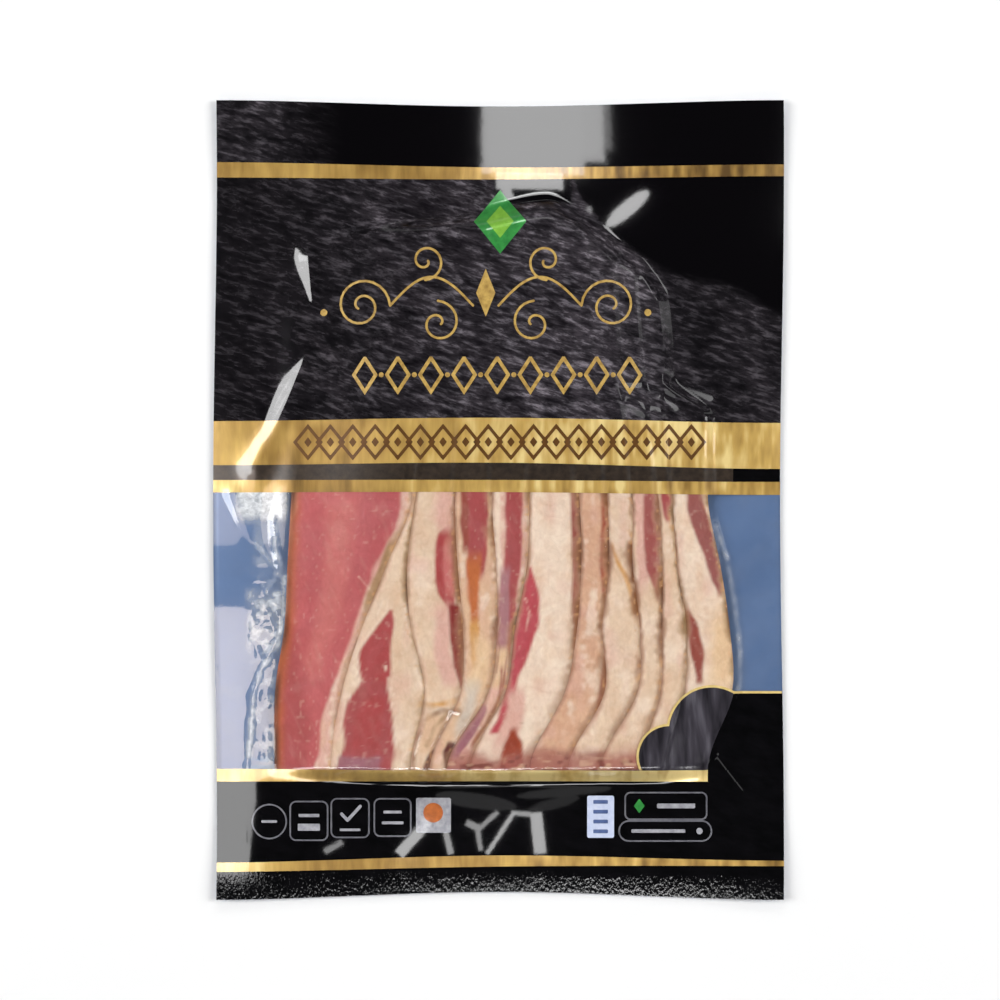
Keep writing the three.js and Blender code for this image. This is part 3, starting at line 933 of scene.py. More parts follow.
def left_crust(x, y, wobble):
    """Wide orange crust and dark edge at the left side of the stack."""
    from_edge = x - stack_left(y)
    crust = ramp(LEFT_CRUST["width"] * 1.3, 0.6, from_edge + 0.6 * wobble) * 0.85
    edge_share = np.clip(0.75 + 1.6 * value_noise(x * 0, y, 9.0, 44), 0.15, 1)
    edge = ramp(LEFT_CRUST["edge_width"] * 1.5, 0.4, from_edge) * edge_share
    return [(crust, LEFT_CRUST["colour"]), (edge, LEFT_CRUST["edge_colour"])]


def neighbour_crust_and_shade(index, x, y, uneven, upper, dark_parts):
    """Crust and painted shade beside the slice's left neighbour, which lies over it."""
    from_neighbour = x - slice_right(index - 1, y)
    colour, width, strength = CRUSTS[index - 1]
    blush = ramp(2.0 * uneven, 0, from_neighbour) * 0.4
    crust = ramp(width * 0.8 * uneven, 0.1, from_neighbour) * strength * 0.7
    crust = crust * np.clip(uneven, 0.2, 1) * (0.4 + 0.6 * upper)
    # Painted shadow that the neighbour's edge casts on the slice
    shade = ramp(1.2, 0, from_neighbour) * (0.15 + 0.5 * dark_parts)
    return [(blush, PINK_FAT), (crust, colour), (shade, BROWN)]


def foot_crust(x, y, wobble):
    """Browned ends of the slices along the foot of the stack, with dark marks and pale glints."""
    above_foot = y - through(FOOT_END_ACROSS, FOOT_END, x) + 3.5 * wobble
    crust = ramp(FOOT_CRUST["reach"], 3.0, above_foot) * 0.85
    marks = ramp(0.02, 0.3, value_noise(x, y * 1.6, 2.2, 80)) * ramp(7.5, 2.0, above_foot) * 0.8
    glints = ramp(0.16, 0.4, value_noise(x * 0.7, y * 1.8, 1.9, 81)) * ramp(7.0, 2.0, above_foot) * 0.55
    return [(crust, FOOT_CRUST["colour"]), (marks, FOOT_CRUST["dark"]), (glints, TAN)]


def crust_and_shade_layers(index, x, y, wobble):
    """Uneven crust along the slice's sides and at its foot, with painted shade beside the neighbour that
    lies over it.
    """
    colour, width, strength = CRUSTS[index]
    uneven = 0.85 + 1.3 * value_noise(x * 0, y, 6.0, CRUST_LAYER + index)
    uneven = uneven + 0.6 * value_noise(x, y, 1.6, CRUST_SPOT_LAYER + index)
    upper = 0.3 + 0.7 * ramp(*CRUST_FADES, y)
    strength = strength * (0.4 + 0.6 * upper)
    dark_parts = ramp(-0.02, 0.34, value_noise(x * 0, y, 8.0, DARK_LAYER + index)) * upper
    to_edge = slice_right(index, y) - x
    pale = ramp(width * 2.4 * uneven, 0, to_edge) * 0.5 * strength
    crust = ramp(width * 1.5 * uneven, 0.1, to_edge) * strength * np.clip(uneven, 0.35, 1)
    dark = ramp(1.0, 0, to_edge) * 0.75 * dark_parts
    layers = [(pale, TAN), (crust, colour), (dark, DARK_BROWN)]
    if index == 0:
        layers += left_crust(x, y, wobble)
    else:
        layers += neighbour_crust_and_shade(index, x, y, uneven, upper, dark_parts)
    specks = ramp(0.18, 0.36, value_noise(x, y * 0.8, 1.0, 130)) * ramp(2.6, 0.4, to_edge)
    layers.append((specks * 0.5, SPECK))
    if index >= FOOT_CRUST["from_slice"]:
        layers += foot_crust(x, y, wobble)
    return layers


def stroke_cover(x, y, width, points, wobble):
    faint = 0.55 + 0.9 * value_noise(x, y, 2.4, 8)
    return ramp(width * 0.8, 0.05, distance_to_line(x, y, points) + 0.4 * wobble) * faint


def meat_colours(index, x, y):
    """Colour of every point of a slice, as linear values."""
    wobble = 1.1 * value_noise(x, y, 4.5, 5) + 0.25 * value_noise(x, y, 2.0, 6)
    colours = np.broadcast_to(linear_colour(SLICE_FAT[index]), x.shape + (3,)).copy()
    cloud = value_noise(x, y * 0.4, 3.4, CLOUD_LAYER + index) + 0.4 * value_noise(x, y, 1.5, 90)
    blush = value_noise(x, y * 0.6, 4.5, BLUSH_LAYER + index)
    slanted = value_noise(x + 0.45 * y, y * 0.3 - x * 0.12, 1.5, 95)
    fibres = ramp(0.12, 0.42, slanted + 0.3 * value_noise(x, y, 7.0, 96))
    flecks = ramp(0.3, 0.46, value_noise(x, y * 0.8, 1.0, 97))
    layers = [
        (ramp(0.0, 0.45, cloud) * 0.8, PALE),
        (ramp(0.0, 0.5, -cloud) * 0.4, TAN),
        (ramp(0.12, 0.5, blush) * 0.5, PINK_FAT),
    ]
    for owner, colour, soft, fade, rows in STRETCHES:
        if owner == index:
            layers.append((stretch_cover(x, y, soft, fade, rows, wobble), colour))
    for colour, width, points in STROKES:
        layers.append((stroke_cover(x, y, width, points, wobble), colour))
    layers += [(fibres * 0.045, PALE), (flecks * 0.16, PALE)]
    return blend_layers(colours, layers + crust_and_shade_layers(index, x, y, wobble))


def meat_top(x, y):
    """Upper limit of the meat: just under the film, with a groove along each slice edge."""
    height = film_height(x, y) - SLICE_GAP
    for index in range(SLICE_COUNT - 1):
        height = height - GROOVE_DEPTH * np.exp(-(np.abs(x - slice_right(index, y)) / GROOVE_WIDTH) ** 1.5)
    return np.maximum(height, back_topside(x, y) + LEAST_ROOM)


def slice_left(index, y):
    if index == 0:
        return stack_left(y)
    inset = HIDDEN_INSET["first"] + HIDDEN_INSET["each"] * index
    return np.maximum(stack_left(y) + inset, slice_right(index, y) - SLICE_WIDTH)


def slice_weights(x, y):
    """Thickness share of every slice at a place: full inside a slice, thin at its sides."""
    weights = []
    for index in range(SLICE_COUNT):
        from_left = x - slice_left(index, y)
        from_right = slice_right(index, y) - x
        thin_left = THIN_SIDES["shown"] if index == 0 else THIN_SIDES["under_neighbour"]
        share = ramp(0, thin_left, from_left) * ramp(0, THIN_SIDES["shown"], from_right)
        inside = (from_left >= -0.01) & (from_right >= -0.01)
        weights.append(np.where(inside, np.maximum(share, THIN_SIDES["least"]), 0))
    return np.array(weights)


def slice_columns(index):
    """Places across a slice as shares of its visible strip: negative ones lie under its neighbour."""
    if index == 0:
        return np.linspace(0, 1, int(FIRST_STRIP / FIRST_SLICE_CELL) + 1), np.array([])
    shown = np.linspace(0, 1, int(OTHER_STRIPS / SLICE_CELL) + 1)
    return shown, np.linspace(0, 1, HIDDEN_COLUMNS)[:-1]


def slice_ends(index):
    """Foot and head of a slice, which aren't quite even from slice to slice."""
    jitter = np.random.RandomState(SEED + index).rand(2)
    foot_place = slice_right(index, FOOT_UNEVEN["level"]) - ENDS_INSET
    foot = float(through(FOOT_END_ACROSS, FOOT_END, foot_place))
    head_place = slice_right(index, HEAD_UNEVEN["level"]) - ENDS_INSET
    head = float(through(TOP_END_ACROSS, TOP_END, head_place))
    if index == SLICE_COUNT - 1:
        head = SHORT_SLICE["from"] + SHORT_SLICE["past"]
    else:
        head = head - HEAD_UNEVEN["most"] * jitter[1]
    return foot - FOOT_UNEVEN["least"] + FOOT_UNEVEN["most"] * jitter[0], head


def make_slice(index, material):
    shown, hidden = slice_columns(index)
    foot, head = slice_ends(index)
    cell = FIRST_SLICE_CELL if index == 0 else SLICE_CELL
    in_window = np.linspace(foot, SHOWN_TOP, int((SHOWN_TOP - foot) / cell) + 1)
    under_print = np.linspace(SHOWN_TOP, head, int((head - SHOWN_TOP) / COARSE_CELL) + 1)[1:]
    rows = np.concatenate([in_window, under_print])
    y = np.repeat(rows[:, None], len(shown) + len(hidden), axis=1)
    right = slice_right(index, rows)
    before = stack_left(rows) if index == 0 else slice_right(index - 1, rows)
    left = slice_left(index, rows)
    start = np.minimum(before, right - LEAST_STRIP)
    shown_x = start[:, None] + (right - start)[:, None] * shown[None, :]
    hidden_x = left[:, None] + (start - left)[:, None] * hidden[None, :]
    x = np.concatenate([hidden_x, shown_x], axis=1)
    weights = slice_weights(x, y)
    total = np.maximum(weights.sum(0), 1e-3)
    above = weights[:index].sum(0) / total
    own = weights[index] / total
    lowest = back_topside(x, y) + BACK_GAP
    room = meat_top(x, y) - lowest
    z_top = lowest + room * (1 - above)
    piece = closed_sheet(f"slice_{index + 1:02d}", x, y, z_top, z_top - room * own, flat_walls=True)
    paint_slice(piece, index, x, y)
    add_piece(piece, material)


def paint_slice(piece, index, x, y):
    """Gives both faces of a slice their colours."""
    count = x.size
    values = np.ones((2 * count, 4), np.float32)
    values[:count, :3] = meat_colours(index, x, y).reshape(-1, 3)
    values[count:, :3] = values[:count, :3]
    attribute = piece.data.color_attributes.new("meat_colour", "FLOAT_COLOR", "POINT")
    attribute.data.foreach_set("color", values.ravel())


# Whitened places of the clear film, partly crumpled film and partly painted highlights along its bright
# folds: their line, half width and strength
HAZE_AND_HIGHLIGHT_LINES = [
    ([(-67.4, -24.6), (-67.7, -35.6), (-69.3, -44.1), (-74.8, -53.9), (-77.2, -62.4), (-78.4, -76.2),
      (-79, -84)], 1.1, 0.75),
    ([(-76.4, -13.8), (-72, -19), (-68.7, -23.8)], 0.9, 0.5),
    ([(-69.5, -6), (-70.8, -14), (-68.4, -22)], 0.9, 0.45),
    ([(-75.8, -40.3), (-68, -42.6)], 0.8, 0.5),
    ([(68.6, -8), (72.2, -19), (74.6, -33), (76.3, -48), (76, -58), (73.4, -70), (69.8, -79.5)], 0.8, 0.3),
]
# Whitened patches of crumpled film; the strongest, at the upper left, is a painted highlight
HAZE_AND_HIGHLIGHT_PATCHES = [
    {"left": -82.5, "right": -67, "bottom": -6, "top": 8, "strength": 0.95, "least": 0.9},
    {"left": -79, "right": -68, "bottom": -48, "top": -28, "strength": 0.62, "least": 0.35},
    {"left": -78, "right": -70, "bottom": -84, "top": -50, "strength": 0.32, "least": 0.3},
    {"left": -77, "right": -68, "bottom": -30, "top": -6, "strength": 0.25, "least": 0.2},
    {"left": -91, "right": -78, "bottom": -84, "top": -34, "strength": 0.08, "least": 0.5},
]


def film_haze_and_highlight(x, y):
    """Whitening of the clear film where it is folded or crumpled, partly painted highlight."""
    broken = 0.75 + 1.1 * value_noise(x, y, 2.6, 120)
    torn = ramp(-0.12, 0.25, value_noise(x, y, 3.4, 121) + 0.5 * value_noise(x, y, 1.3, 122))
    beside = ramp(0.8, -1.0, x - stack_left(y)) + ramp(-8, -2, x - slice_right(SLICE_COUNT - 1, y))
    haze_and_highlight = np.zeros_like(x)
    for points, width, strength in HAZE_AND_HIGHLIGHT_LINES:
        line = np.exp(-(distance_to_line(x, y, points) / width) ** 2)
        haze_and_highlight = np.maximum(haze_and_highlight, strength * broken * line)
    for patch in HAZE_AND_HIGHLIGHT_PATCHES:
        across = soft_span(patch["left"], patch["right"], 2, x)
        along = soft_span(patch["bottom"], patch["top"], 3, y)
        cover = np.maximum(torn, patch["least"]) * across * along
        haze_and_highlight = np.maximum(haze_and_highlight, patch["strength"] * cover)
    return np.clip(haze_and_highlight * beside, 0, 0.9)


# Generic corner panel of the print: two scallops and a block in the lower right of the window
CORNER_BLOCK = {"left": 68, "top": -61}
CORNER_SCALLOPS = [((67, -72.5), 13.5), ((53.5, -80.5), 9.5)]
CORNER_EDGE_WIDTH = 0.75


def corner_field(x, y):
    block = np.minimum(x - CORNER_BLOCK["left"], CORNER_BLOCK["top"] - y)
    return union([block] + [disc(x, y, centre, radius) for centre, radius in CORNER_SCALLOPS])


# The sealed edge at the foot has a pressed grain
SEAL_STARTS = (-116, -119)


# Plain black part of the slate print: its lower limit from the middle to the right edge
PLAIN_ACROSS = [20, 28, 40, 54, 75, 90]
PLAIN_ABOVE = [104, 92, 80, 71, 66, 58]
SLATE_ACROSS = [-90, -60, -20, 15, 44, 56, 90]
SLATE_SHARES = [0.2, 0.3, 0.6, 0.96, 0.9, 0.42, 0.4]
PLAIN_PATCH = {"left": -1, "right": 22, "bottom": 93.5}
PLAIN_STARTS = (18, 26)
MATT_STARTS = (-48, -20)
MATT_ENDS = (46, 32)
HEAD_SHARE = 0.52
HEAD_FADES = (-48, -78)
HEAD_STARTS = 103.5


def plain_share(x, y):
    """One in the glossy black parts of the panel: its upper right corner and a patch under its head."""
    corner = ramp(-2.5, 2.5, y - through(PLAIN_ACROSS, PLAIN_ABOVE, x)) * ramp(*PLAIN_STARTS, x)
    from_left = ramp(PLAIN_PATCH["left"] - 1, PLAIN_PATCH["left"] + 1, x)
    from_right = ramp(PLAIN_PATCH["right"] + 3, PLAIN_PATCH["right"], x)
    from_bottom = ramp(PLAIN_PATCH["bottom"] - 1, PLAIN_PATCH["bottom"] + 1, y)
    return np.maximum(corner, from_left * from_right * from_bottom)


def matt_share(x, y):
    """The scratched print is matt in the middle of the panel."""
    below_head = ramp(HEAD_STARTS, HEAD_STARTS - 2, y)
    return ramp(*MATT_STARTS, x) * ramp(*MATT_ENDS, x) * (1 - plain_share(x, y)) * below_head


def slate_share(x, y):
    """Strength of the scratches: none in the glossy black parts."""
    plain = plain_share(x, y)
    panel = through(SLATE_ACROSS, SLATE_SHARES, x) * (1 - plain)
    head = HEAD_SHARE * ramp(*HEAD_FADES, x)
    return np.where(y > HEAD_STARTS, head, panel)


# Painted sheen of each gold line: its brightness from the left edge of the pack to the right one, lighter
# where reflections fall
GOLD_SHEEN_PLACES = [-90, -76, -60, -30, 0, 30, 60, 90]
GOLD_PAINTED_SHEEN = {
    "head": [0.34, 0.42, 0.46, 0.28, 0.36, 0.28, 0.26, 0.28],
    "band": [0.44, 0.38, 0.32, 0.46, 0.6, 0.62, 0.62, 0.54],
    "rule": [0.62, 0.54, 0.24, 0.42, 0.52, 0.54, 0.5, 0.46],
    "sill": [0.66, 0.58, 0.44, 0.48, 0.62, 0.74, 0.76, 0.7],
    "foot": [0.62, 0.54, 0.34, 0.34, 0.36, 0.4, 0.38, 0.34],
}
# Painted reflections of pleats and patches on the gold: their cells, depths and where they deepen
PAINTED_PLEAT_SHEEN = {"wide": 2.6, "fine": 1.1, "left_depth": 0.12, "added_depth": 0.26, "deepen": (-30, 40)}
GOLD_SHEEN_PATCHES = (0.14, 4.0)


def painted_gold_sheen(line, x, y):
    """Painted sheen of a gold line, with painted reflections of pleats that get stronger towards the right.
    """
    pleats = value_noise(x, y * 0.1, PAINTED_PLEAT_SHEEN["wide"], 110)
    pleats = pleats + 0.6 * value_noise(x, y * 0.3, PAINTED_PLEAT_SHEEN["fine"], 111)
    depth = PAINTED_PLEAT_SHEEN["left_depth"] + PAINTED_PLEAT_SHEEN["added_depth"] * ramp(*PAINTED_PLEAT_SHEEN["deepen"], x)
    patches = GOLD_SHEEN_PATCHES[0] * value_noise(x * 0.5, y, GOLD_SHEEN_PATCHES[1], 112)
    return through(GOLD_SHEEN_PLACES, GOLD_PAINTED_SHEEN[line], x) + depth * pleats + patches


STRIPE_END = 74
SILL_END = 66


def add_share(piece, name, values):
    attribute = piece.data.attributes.new(name, "FLOAT", "POINT")
    attribute.data.foreach_set("value", values.astype(np.float32))


def make_front(materials):
    black, gold, slate, window, stripe, pleated = [Surface() for _ in range(6)]
    edges = {"foot": bottom_edge, "head": top_edge}
    for name, line in GOLD_LINES.items():
        edges[name + "_lower"] = print_line(line["lower"])
        edges[name + "_upper"] = print_line(line["upper"])
    tones = []

    def add_gold(line, lower, upper, right_end=PACK_WIDTH):
        x, y, z = strip_grid(edges[lower], edges[upper])
        before = len(gold.points)
        gold.add_grid(x, y, z, right_end - x)
        places = np.array(gold.points[before:])
        # Painted sheen of the gold at its points
        tones.append(painted_gold_sheen(line, places[:, 0], places[:, 1]))
        return x, y, z

    black.add_grid(*strip_grid(edges["foot"], edges["foot_line_lower"]))
    add_gold("foot", "foot_line_lower", "foot_line_upper")
    black.add_grid(*strip_grid(edges["foot_line_upper"], edges["sill_lower"]))
    x, y, z = add_gold("sill", "sill_lower", "sill_upper", SILL_END)
    black.add_grid(x, y, z, x - SILL_END)
    x, y, z = strip_grid(edges["sill_upper"], edges["rule_lower"])
    corner = corner_field(x, y)
    over_slices = slice_right(SLICE_COUNT - 1, y) + 0.6 - x
    window.add_grid(x, y, z, -corner)
    pleated.add_grid(x, y, z, np.minimum(corner, over_slices))
    black.add_grid(x, y, z, np.minimum(corner, -over_slices))
    add_gold("rule", "rule_lower", "rule_upper")
    x, y, z = strip_grid(edges["rule_upper"], edges["band_lower"])
    stripe.add_grid(x, y, z, STRIPE_END - x)
    black.add_grid(x, y, z, x - STRIPE_END)
    add_gold("band", "band_lower", "band_upper")
    slate.add_grid(*strip_grid(edges["band_upper"], edges["head_line_lower"]))
    add_gold("head", "head_line_lower", "head_line_upper")
    slate.add_grid(*strip_grid(edges["head_line_upper"], edges["head"]))

    piece = add_piece(black.make("front_black"), materials["black"])
    add_share(piece, "seal", ramp(*SEAL_STARTS, np.array(black.points)[:, 1]))
    piece = add_piece(gold.make("front_gold"), materials["gold"])
    add_share(piece, "painted_sheen", np.concatenate(tones))
    piece = add_piece(slate.make("front_slate"), materials["slate"])
    places = np.array(slate.points)
    add_share(piece, "slate", slate_share(places[:, 0], places[:, 1]))
    add_share(piece, "matt", matt_share(places[:, 0], places[:, 1]))
    piece = add_piece(window.make("front_window"), materials["clear"])
    places = np.array(window.points)
    add_share(piece, "haze_and_highlight", film_haze_and_highlight(places[:, 0], places[:, 1]))
    add_piece(stripe.make("front_stripe"), materials["stripe"])
    add_piece(pleated.make("front_corner"), materials["pleated"])


def make_back(material):
    """Blue back film: a thin closed sheet."""
    rows = np.linspace(-PACK_LENGTH / 2, PACK_LENGTH / 2, int(PACK_LENGTH / BACK_CELL) + 1)
    columns = np.linspace(-1, 1, int(PACK_WIDTH / BACK_CELL) + 1)
    row = np.repeat(rows[:, None], len(columns), axis=1)
    x = np.where(columns[None, :] < 0, -columns * side_edge(-1, row), columns * side_edge(1, row))
    y = bend_row(row, x)
    film = closed_sheet("back_film", x, y, back_topside(x, y), back_underside(x, y), flat_walls=False)
    add_piece(film, material)


def spiral(centre, start_radius, end_radius, start_angle, turns, steps=36):
    """Points of a spiral that winds in towards its centre."""
    points = []
    for step in range(steps + 1):
        part = step / steps
        radius = start_radius + (end_radius - start_radius) * part
        angle = start_angle + turns * 2 * np.pi * part
        points.append((centre[0] + radius * np.cos(angle), centre[1] + radius * np.sin(angle)))
    return points


# The mirrored scroll: its middle, its level, and the place, radii and turns of each spiral
SCROLL_MIDDLE = -4
SCROLL_LEVEL = 64
SCROLL_LINE = 0.75
SCROLL_STEM = {"starts": 4, "length": 26, "drop": 3, "rise": 9, "points": 18}
SCROLL_CURL = {"out": 39, "up": -3, "start": 9.0, "end": 1.4, "turns": -1.6}
SCROLL_TAIL = {"out": 15, "up": -8.5, "start": 7.0, "end": 1.0, "turns": 1.3}
SCROLL_CREST = {"out": 19, "up": 11, "start": 6.0, "end": 0.9, "turns": -1.25}
SCROLL_HEART = (6, 15)
SCROLL_DOT = {"out": 51, "up": -5, "radius": 1.1}


def scroll_spiral(side, form, start_angle):
    centre = (SCROLL_MIDDLE + side * form["out"], SCROLL_LEVEL + form["up"])
    return spiral(centre, form["start"], form["end"], start_angle, form["turns"] * side)


def scroll_points(side):
    """One arm of the mirrored scroll ornament."""
    outward = np.pi if side > 0 else 0
    stem = []
    for part in np.linspace(0, 1, SCROLL_STEM["points"]):
        across = SCROLL_MIDDLE + side * (SCROLL_STEM["starts"] + SCROLL_STEM["length"] * part)
        up = SCROLL_LEVEL - SCROLL_STEM["drop"] + SCROLL_STEM["rise"] * np.sin(np.pi * part)
        stem.append((across, up))
    curl = scroll_spiral(side, SCROLL_CURL, outward)
    tail = scroll_spiral(side, SCROLL_TAIL, np.pi / 2)
    crest = scroll_spiral(side, SCROLL_CREST, -np.pi / 2)
    return [stem, curl, tail, crest]


def scroll_field(x, y):
    fields = [lozenge(x, y, (SCROLL_MIDDLE, SCROLL_LEVEL + 1), *SCROLL_HEART)]
    for side in (-1, 1):
        fields += [stroke(x, y, points, SCROLL_LINE) for points in scroll_points(side)]
        dot = (SCROLL_MIDDLE + side * SCROLL_DOT["out"], SCROLL_LEVEL + SCROLL_DOT["up"])
        fields.append(disc(x, y, dot, SCROLL_DOT["radius"]))
    return union(fields)


# Two rows of lozenges: their first centre, spacing, number and sizes
LOZENGE_ROW = {"first": (-42, 39.3), "spacing": 10.4, "count": 9, "size": (5.6, 8.6), "line": 1.1}
LOZENGE_DOT = 0.8
CHAIN = {"first": (-60, 18.2), "spacing": 7.1, "count": 18, "size": (6.9, 8.4), "line": 1.0}
CHAIN_CORE = (2.4, 3.2)


def row_centres(row):
    return [(row["first"][0] + n * row["spacing"], row["first"][1]) for n in range(row["count"])]


def row_outlines(x, y, row):
    return [outline(lozenge(x, y, centre, *row["size"]), row["line"]) for centre in row_centres(row)]


def lozenge_row_field(x, y):
    half_way = LOZENGE_ROW["spacing"] / 2
    places = [(across + half_way, level) for across, level in row_centres(LOZENGE_ROW)[:-1]]
    dots = [disc(x, y, place, LOZENGE_DOT) for place in places]
    return union(row_outlines(x, y, LOZENGE_ROW) + dots)


def chain_field(x, y):
    cores = [lozenge(x, y, centre, *CHAIN_CORE) for centre in row_centres(CHAIN)]
    return union(row_outlines(x, y, CHAIN) + cores)


# Generic badges of the foot strip: outlines with centre, width, height and corner radius, and bars in them
BADGE_AREA = (-78.5, 68, -108.5, -91.5)
BADGE_LINE = 0.5
BADGE_RING = ((-72.3, -101.4), 5.1)
BADGE_FRAMES = [
    ((-59.8, -101.2), 11.3, 11.7, 1.6),
    ((-46.8, -100.3), 11.4, 11.7, 1.6),
    ((-33.4, -100.1), 11.0, 11.3, 1.6),
    ((52.8, -96.5), 25.2, 7.9, 1.4),
    ((52.6, -104.4), 28.6, 5.8, 2.8),
]
BADGE_BARS = [
    ((-72.3, -101.4), 5.0, 0.8),
    ((-59.8, -99.5), 6.5, 1.0),
    ((-59.8, -103.2), 7.0, 2.2),
    ((-46.8, -104.0), 6.5, 0.8),
    ((-33.4, -98.4), 5.8, 0.9),
    ((-33.4, -101.8), 6.8, 0.9),
    ((56.0, -96.5), 12.0, 1.5),
    ((50.4, -104.4), 17.0, 1.1),
]
BADGE_TICK = [(-49.5, -99.0), (-47.6, -101.0), (-43.6, -96.6)]
BADGE_DOT = ((63.4, -104.4), 1.0)


def badge_outline_field(x, y):
    shapes = [disc(x, y, *BADGE_RING)] + [plate(x, y, *sizes) for sizes in BADGE_FRAMES]
    return union([outline(shape, BADGE_LINE) for shape in shapes])


def badge_mark_field(x, y):
    bars = [plate(x, y, *sizes) for sizes in BADGE_BARS]
    return union(bars + [stroke(x, y, BADGE_TICK, 2 * BADGE_LINE), disc(x, y, *BADGE_DOT)])


# Bars of the blue tile, and the places of the white tile and of the corner panel's edge
TILE_BARS = {"first": (32.2, -95.2), "spacing": -3.1, "count": 4, "size": (4.6, 1.2)}
TILE_PLACE = (-20.5, -99.4)
CORNER_EDGE_STARTS = -84.9


def tile_bar_field(x, y):
    across, level = TILE_BARS["first"]
    places = [(across, level + TILE_BARS["spacing"] * n) for n in range(TILE_BARS["count"])]
    return union([plate(x, y, place, *TILE_BARS["size"]) for place in places])


def corner_edge_field(x, y):
    return np.minimum(outline(corner_field(x, y), CORNER_EDGE_WIDTH), y - CORNER_EDGE_STARTS)


# Printed shapes: name, form with its measures, area that holds it, ink, slot, cell and layer above the film
PRINT, GOLD = "print_details", "gold_print"
FINE, COARSE = 0.25, 0.3
PRINT_SHAPES = [
    ("emblem_green", lozenge, ((0.5, 87.5), 16.5, 20.5), (-9, 10, 76, 99), "green", PRINT, FINE, 1),
    ("emblem_light", lozenge, ((0.5, 87.5), 8.5, 10.5), (-5, 6, 81, 94), "lime", PRINT, FINE, 2),
    ("scroll_ornament", scroll_field, (), (-57, 49, 44, 83), "gold_ink", GOLD, FINE, 1),
    ("lozenge_row", lozenge_row_field, (), (-47, 46, 33, 45), "gold_ink", GOLD, FINE, 1),
    ("band_chain", chain_field, (), (-65, 66, 12, 24), "brown", PRINT, FINE, 1),
    ("corner_edge", corner_edge_field, (), (42, 89.4, -85, -57), "pale_gold", GOLD, FINE, 1),
    ("badge_outlines", badge_outline_field, (), BADGE_AREA, "grey", PRINT, COARSE, 1),
    ("badge_marks", badge_mark_field, (), BADGE_AREA, "white", PRINT, COARSE, 1),
    ("tile_white", plate, (TILE_PLACE, 11, 11, 0.6), (-26.5, -14.5, -105.5, -93.5), "white", PRINT, FINE, 1),
    ("tile_disc", disc, ((-20.6, -98.6), 3.1), (-24, -17, -102, -95), "copper", PRINT, FINE, 2),
    ("tile_blue", plate, ((32.2, -99.9), 8.5, 13.3, 0.6), (27.5, 37, -107, -92.8), "sky", PRINT, FINE, 1),
    ("tile_bars", tile_bar_field, (), (29, 35.5, -106, -93.5), "navy", PRINT, FINE, 2),
    ("lozenge_green", lozenge, ((44.4, -96.5), 3.4, 4.6), (42, 47, -99.2, -93.8), "green", PRINT, FINE, 1),
]


def print_shape(name, form, measures, area, material, cell, layer):
    """Thin printed shape that lies on the film wherever its form's field is positive."""
    left, right, bottom, top = area
    columns = np.linspace(left, right, int((right - left) / cell) + 1)
    rows = np.linspace(bottom, top, int((top - bottom) / cell) + 1)
    x, y = np.meshgrid(columns, rows)
    surface = Surface()
    surface.add_grid(x, y, film_height(x, y) + layer * PRINT_LIFT, form(x, y, *measures))
    add_piece(surface.make(name), material)


# The floor, in metres
FLOOR_HALF = 3.0
FLOOR_LEVEL = -0.0002


def make_floor():
    mesh = bpy.data.meshes.new("floor")
    signs = [(-1, -1), (1, -1), (1, 1), (-1, 1)]
    corners = [(across * FLOOR_HALF, along * FLOOR_HALF, FLOOR_LEVEL) for across, along in signs]
    mesh.from_pydata(corners, [], [(0, 1, 2, 3)])
    look = {"Base Color": grey(0.9), "Roughness": 0.9, "Specular IOR Level": 0.1}
    mesh.materials.append(Look("pale_floor").principled(look))
    floor = add_object("floor", mesh)


# The camera looks straight down on the pack from far away
CAMERA_LENS = 150
SENSOR = 36
VIEW_WIDTH = 315.2
CAMERA_ACROSS = 0.47
CAMERA_LEVEL = 2.0
CAMERA_DISTANCE = 1313
CARD_LEVEL = 60
LOW_LEVEL = 30
HEAD_LEVEL = 66
UPPER_RIGHT_LEVEL = 130
WHITE_LIGHT = (1.0, 1.0, 1.0)
WARM_LIGHT = (1.0, 0.84, 0.74)


def make_camera():
    camera = bpy.data.cameras.new("camera")
    camera.lens = CAMERA_LENS
    camera.sensor_width = SENSOR
    camera.clip_start = 0.01
    holder = add_object("camera", camera)
    distance = VIEW_WIDTH * CAMERA_LENS / SENSOR
    holder.location = (CAMERA_ACROSS * MM, 0, (distance + CAMERA_LEVEL) * MM)
    bpy.context.scene.camera = holder


# Soft lights that reflections leave out: name, place, size and brightness
SOFT_LIGHTS = [
    ("left_soft", (-1500, 200, 1300), (900, 1400), 5.9),
    ("right_soft", (1500, 200, 1300), (900, 1400), 5.9),
    ("far_soft", (0, 1900, 1300), (1400, 700), 3.4),
    ("near_soft", (0, -1900, 1300), (1400, 700), 2.2),
]

# Lights that only reflections show, far to both sides
SHEENS = [
    ("left_sheen", (-1300, 260, 760), (300, 800), 3.2),
    ("right_sheen", (1300, 300, 700), (200, 900), 0.8),
]

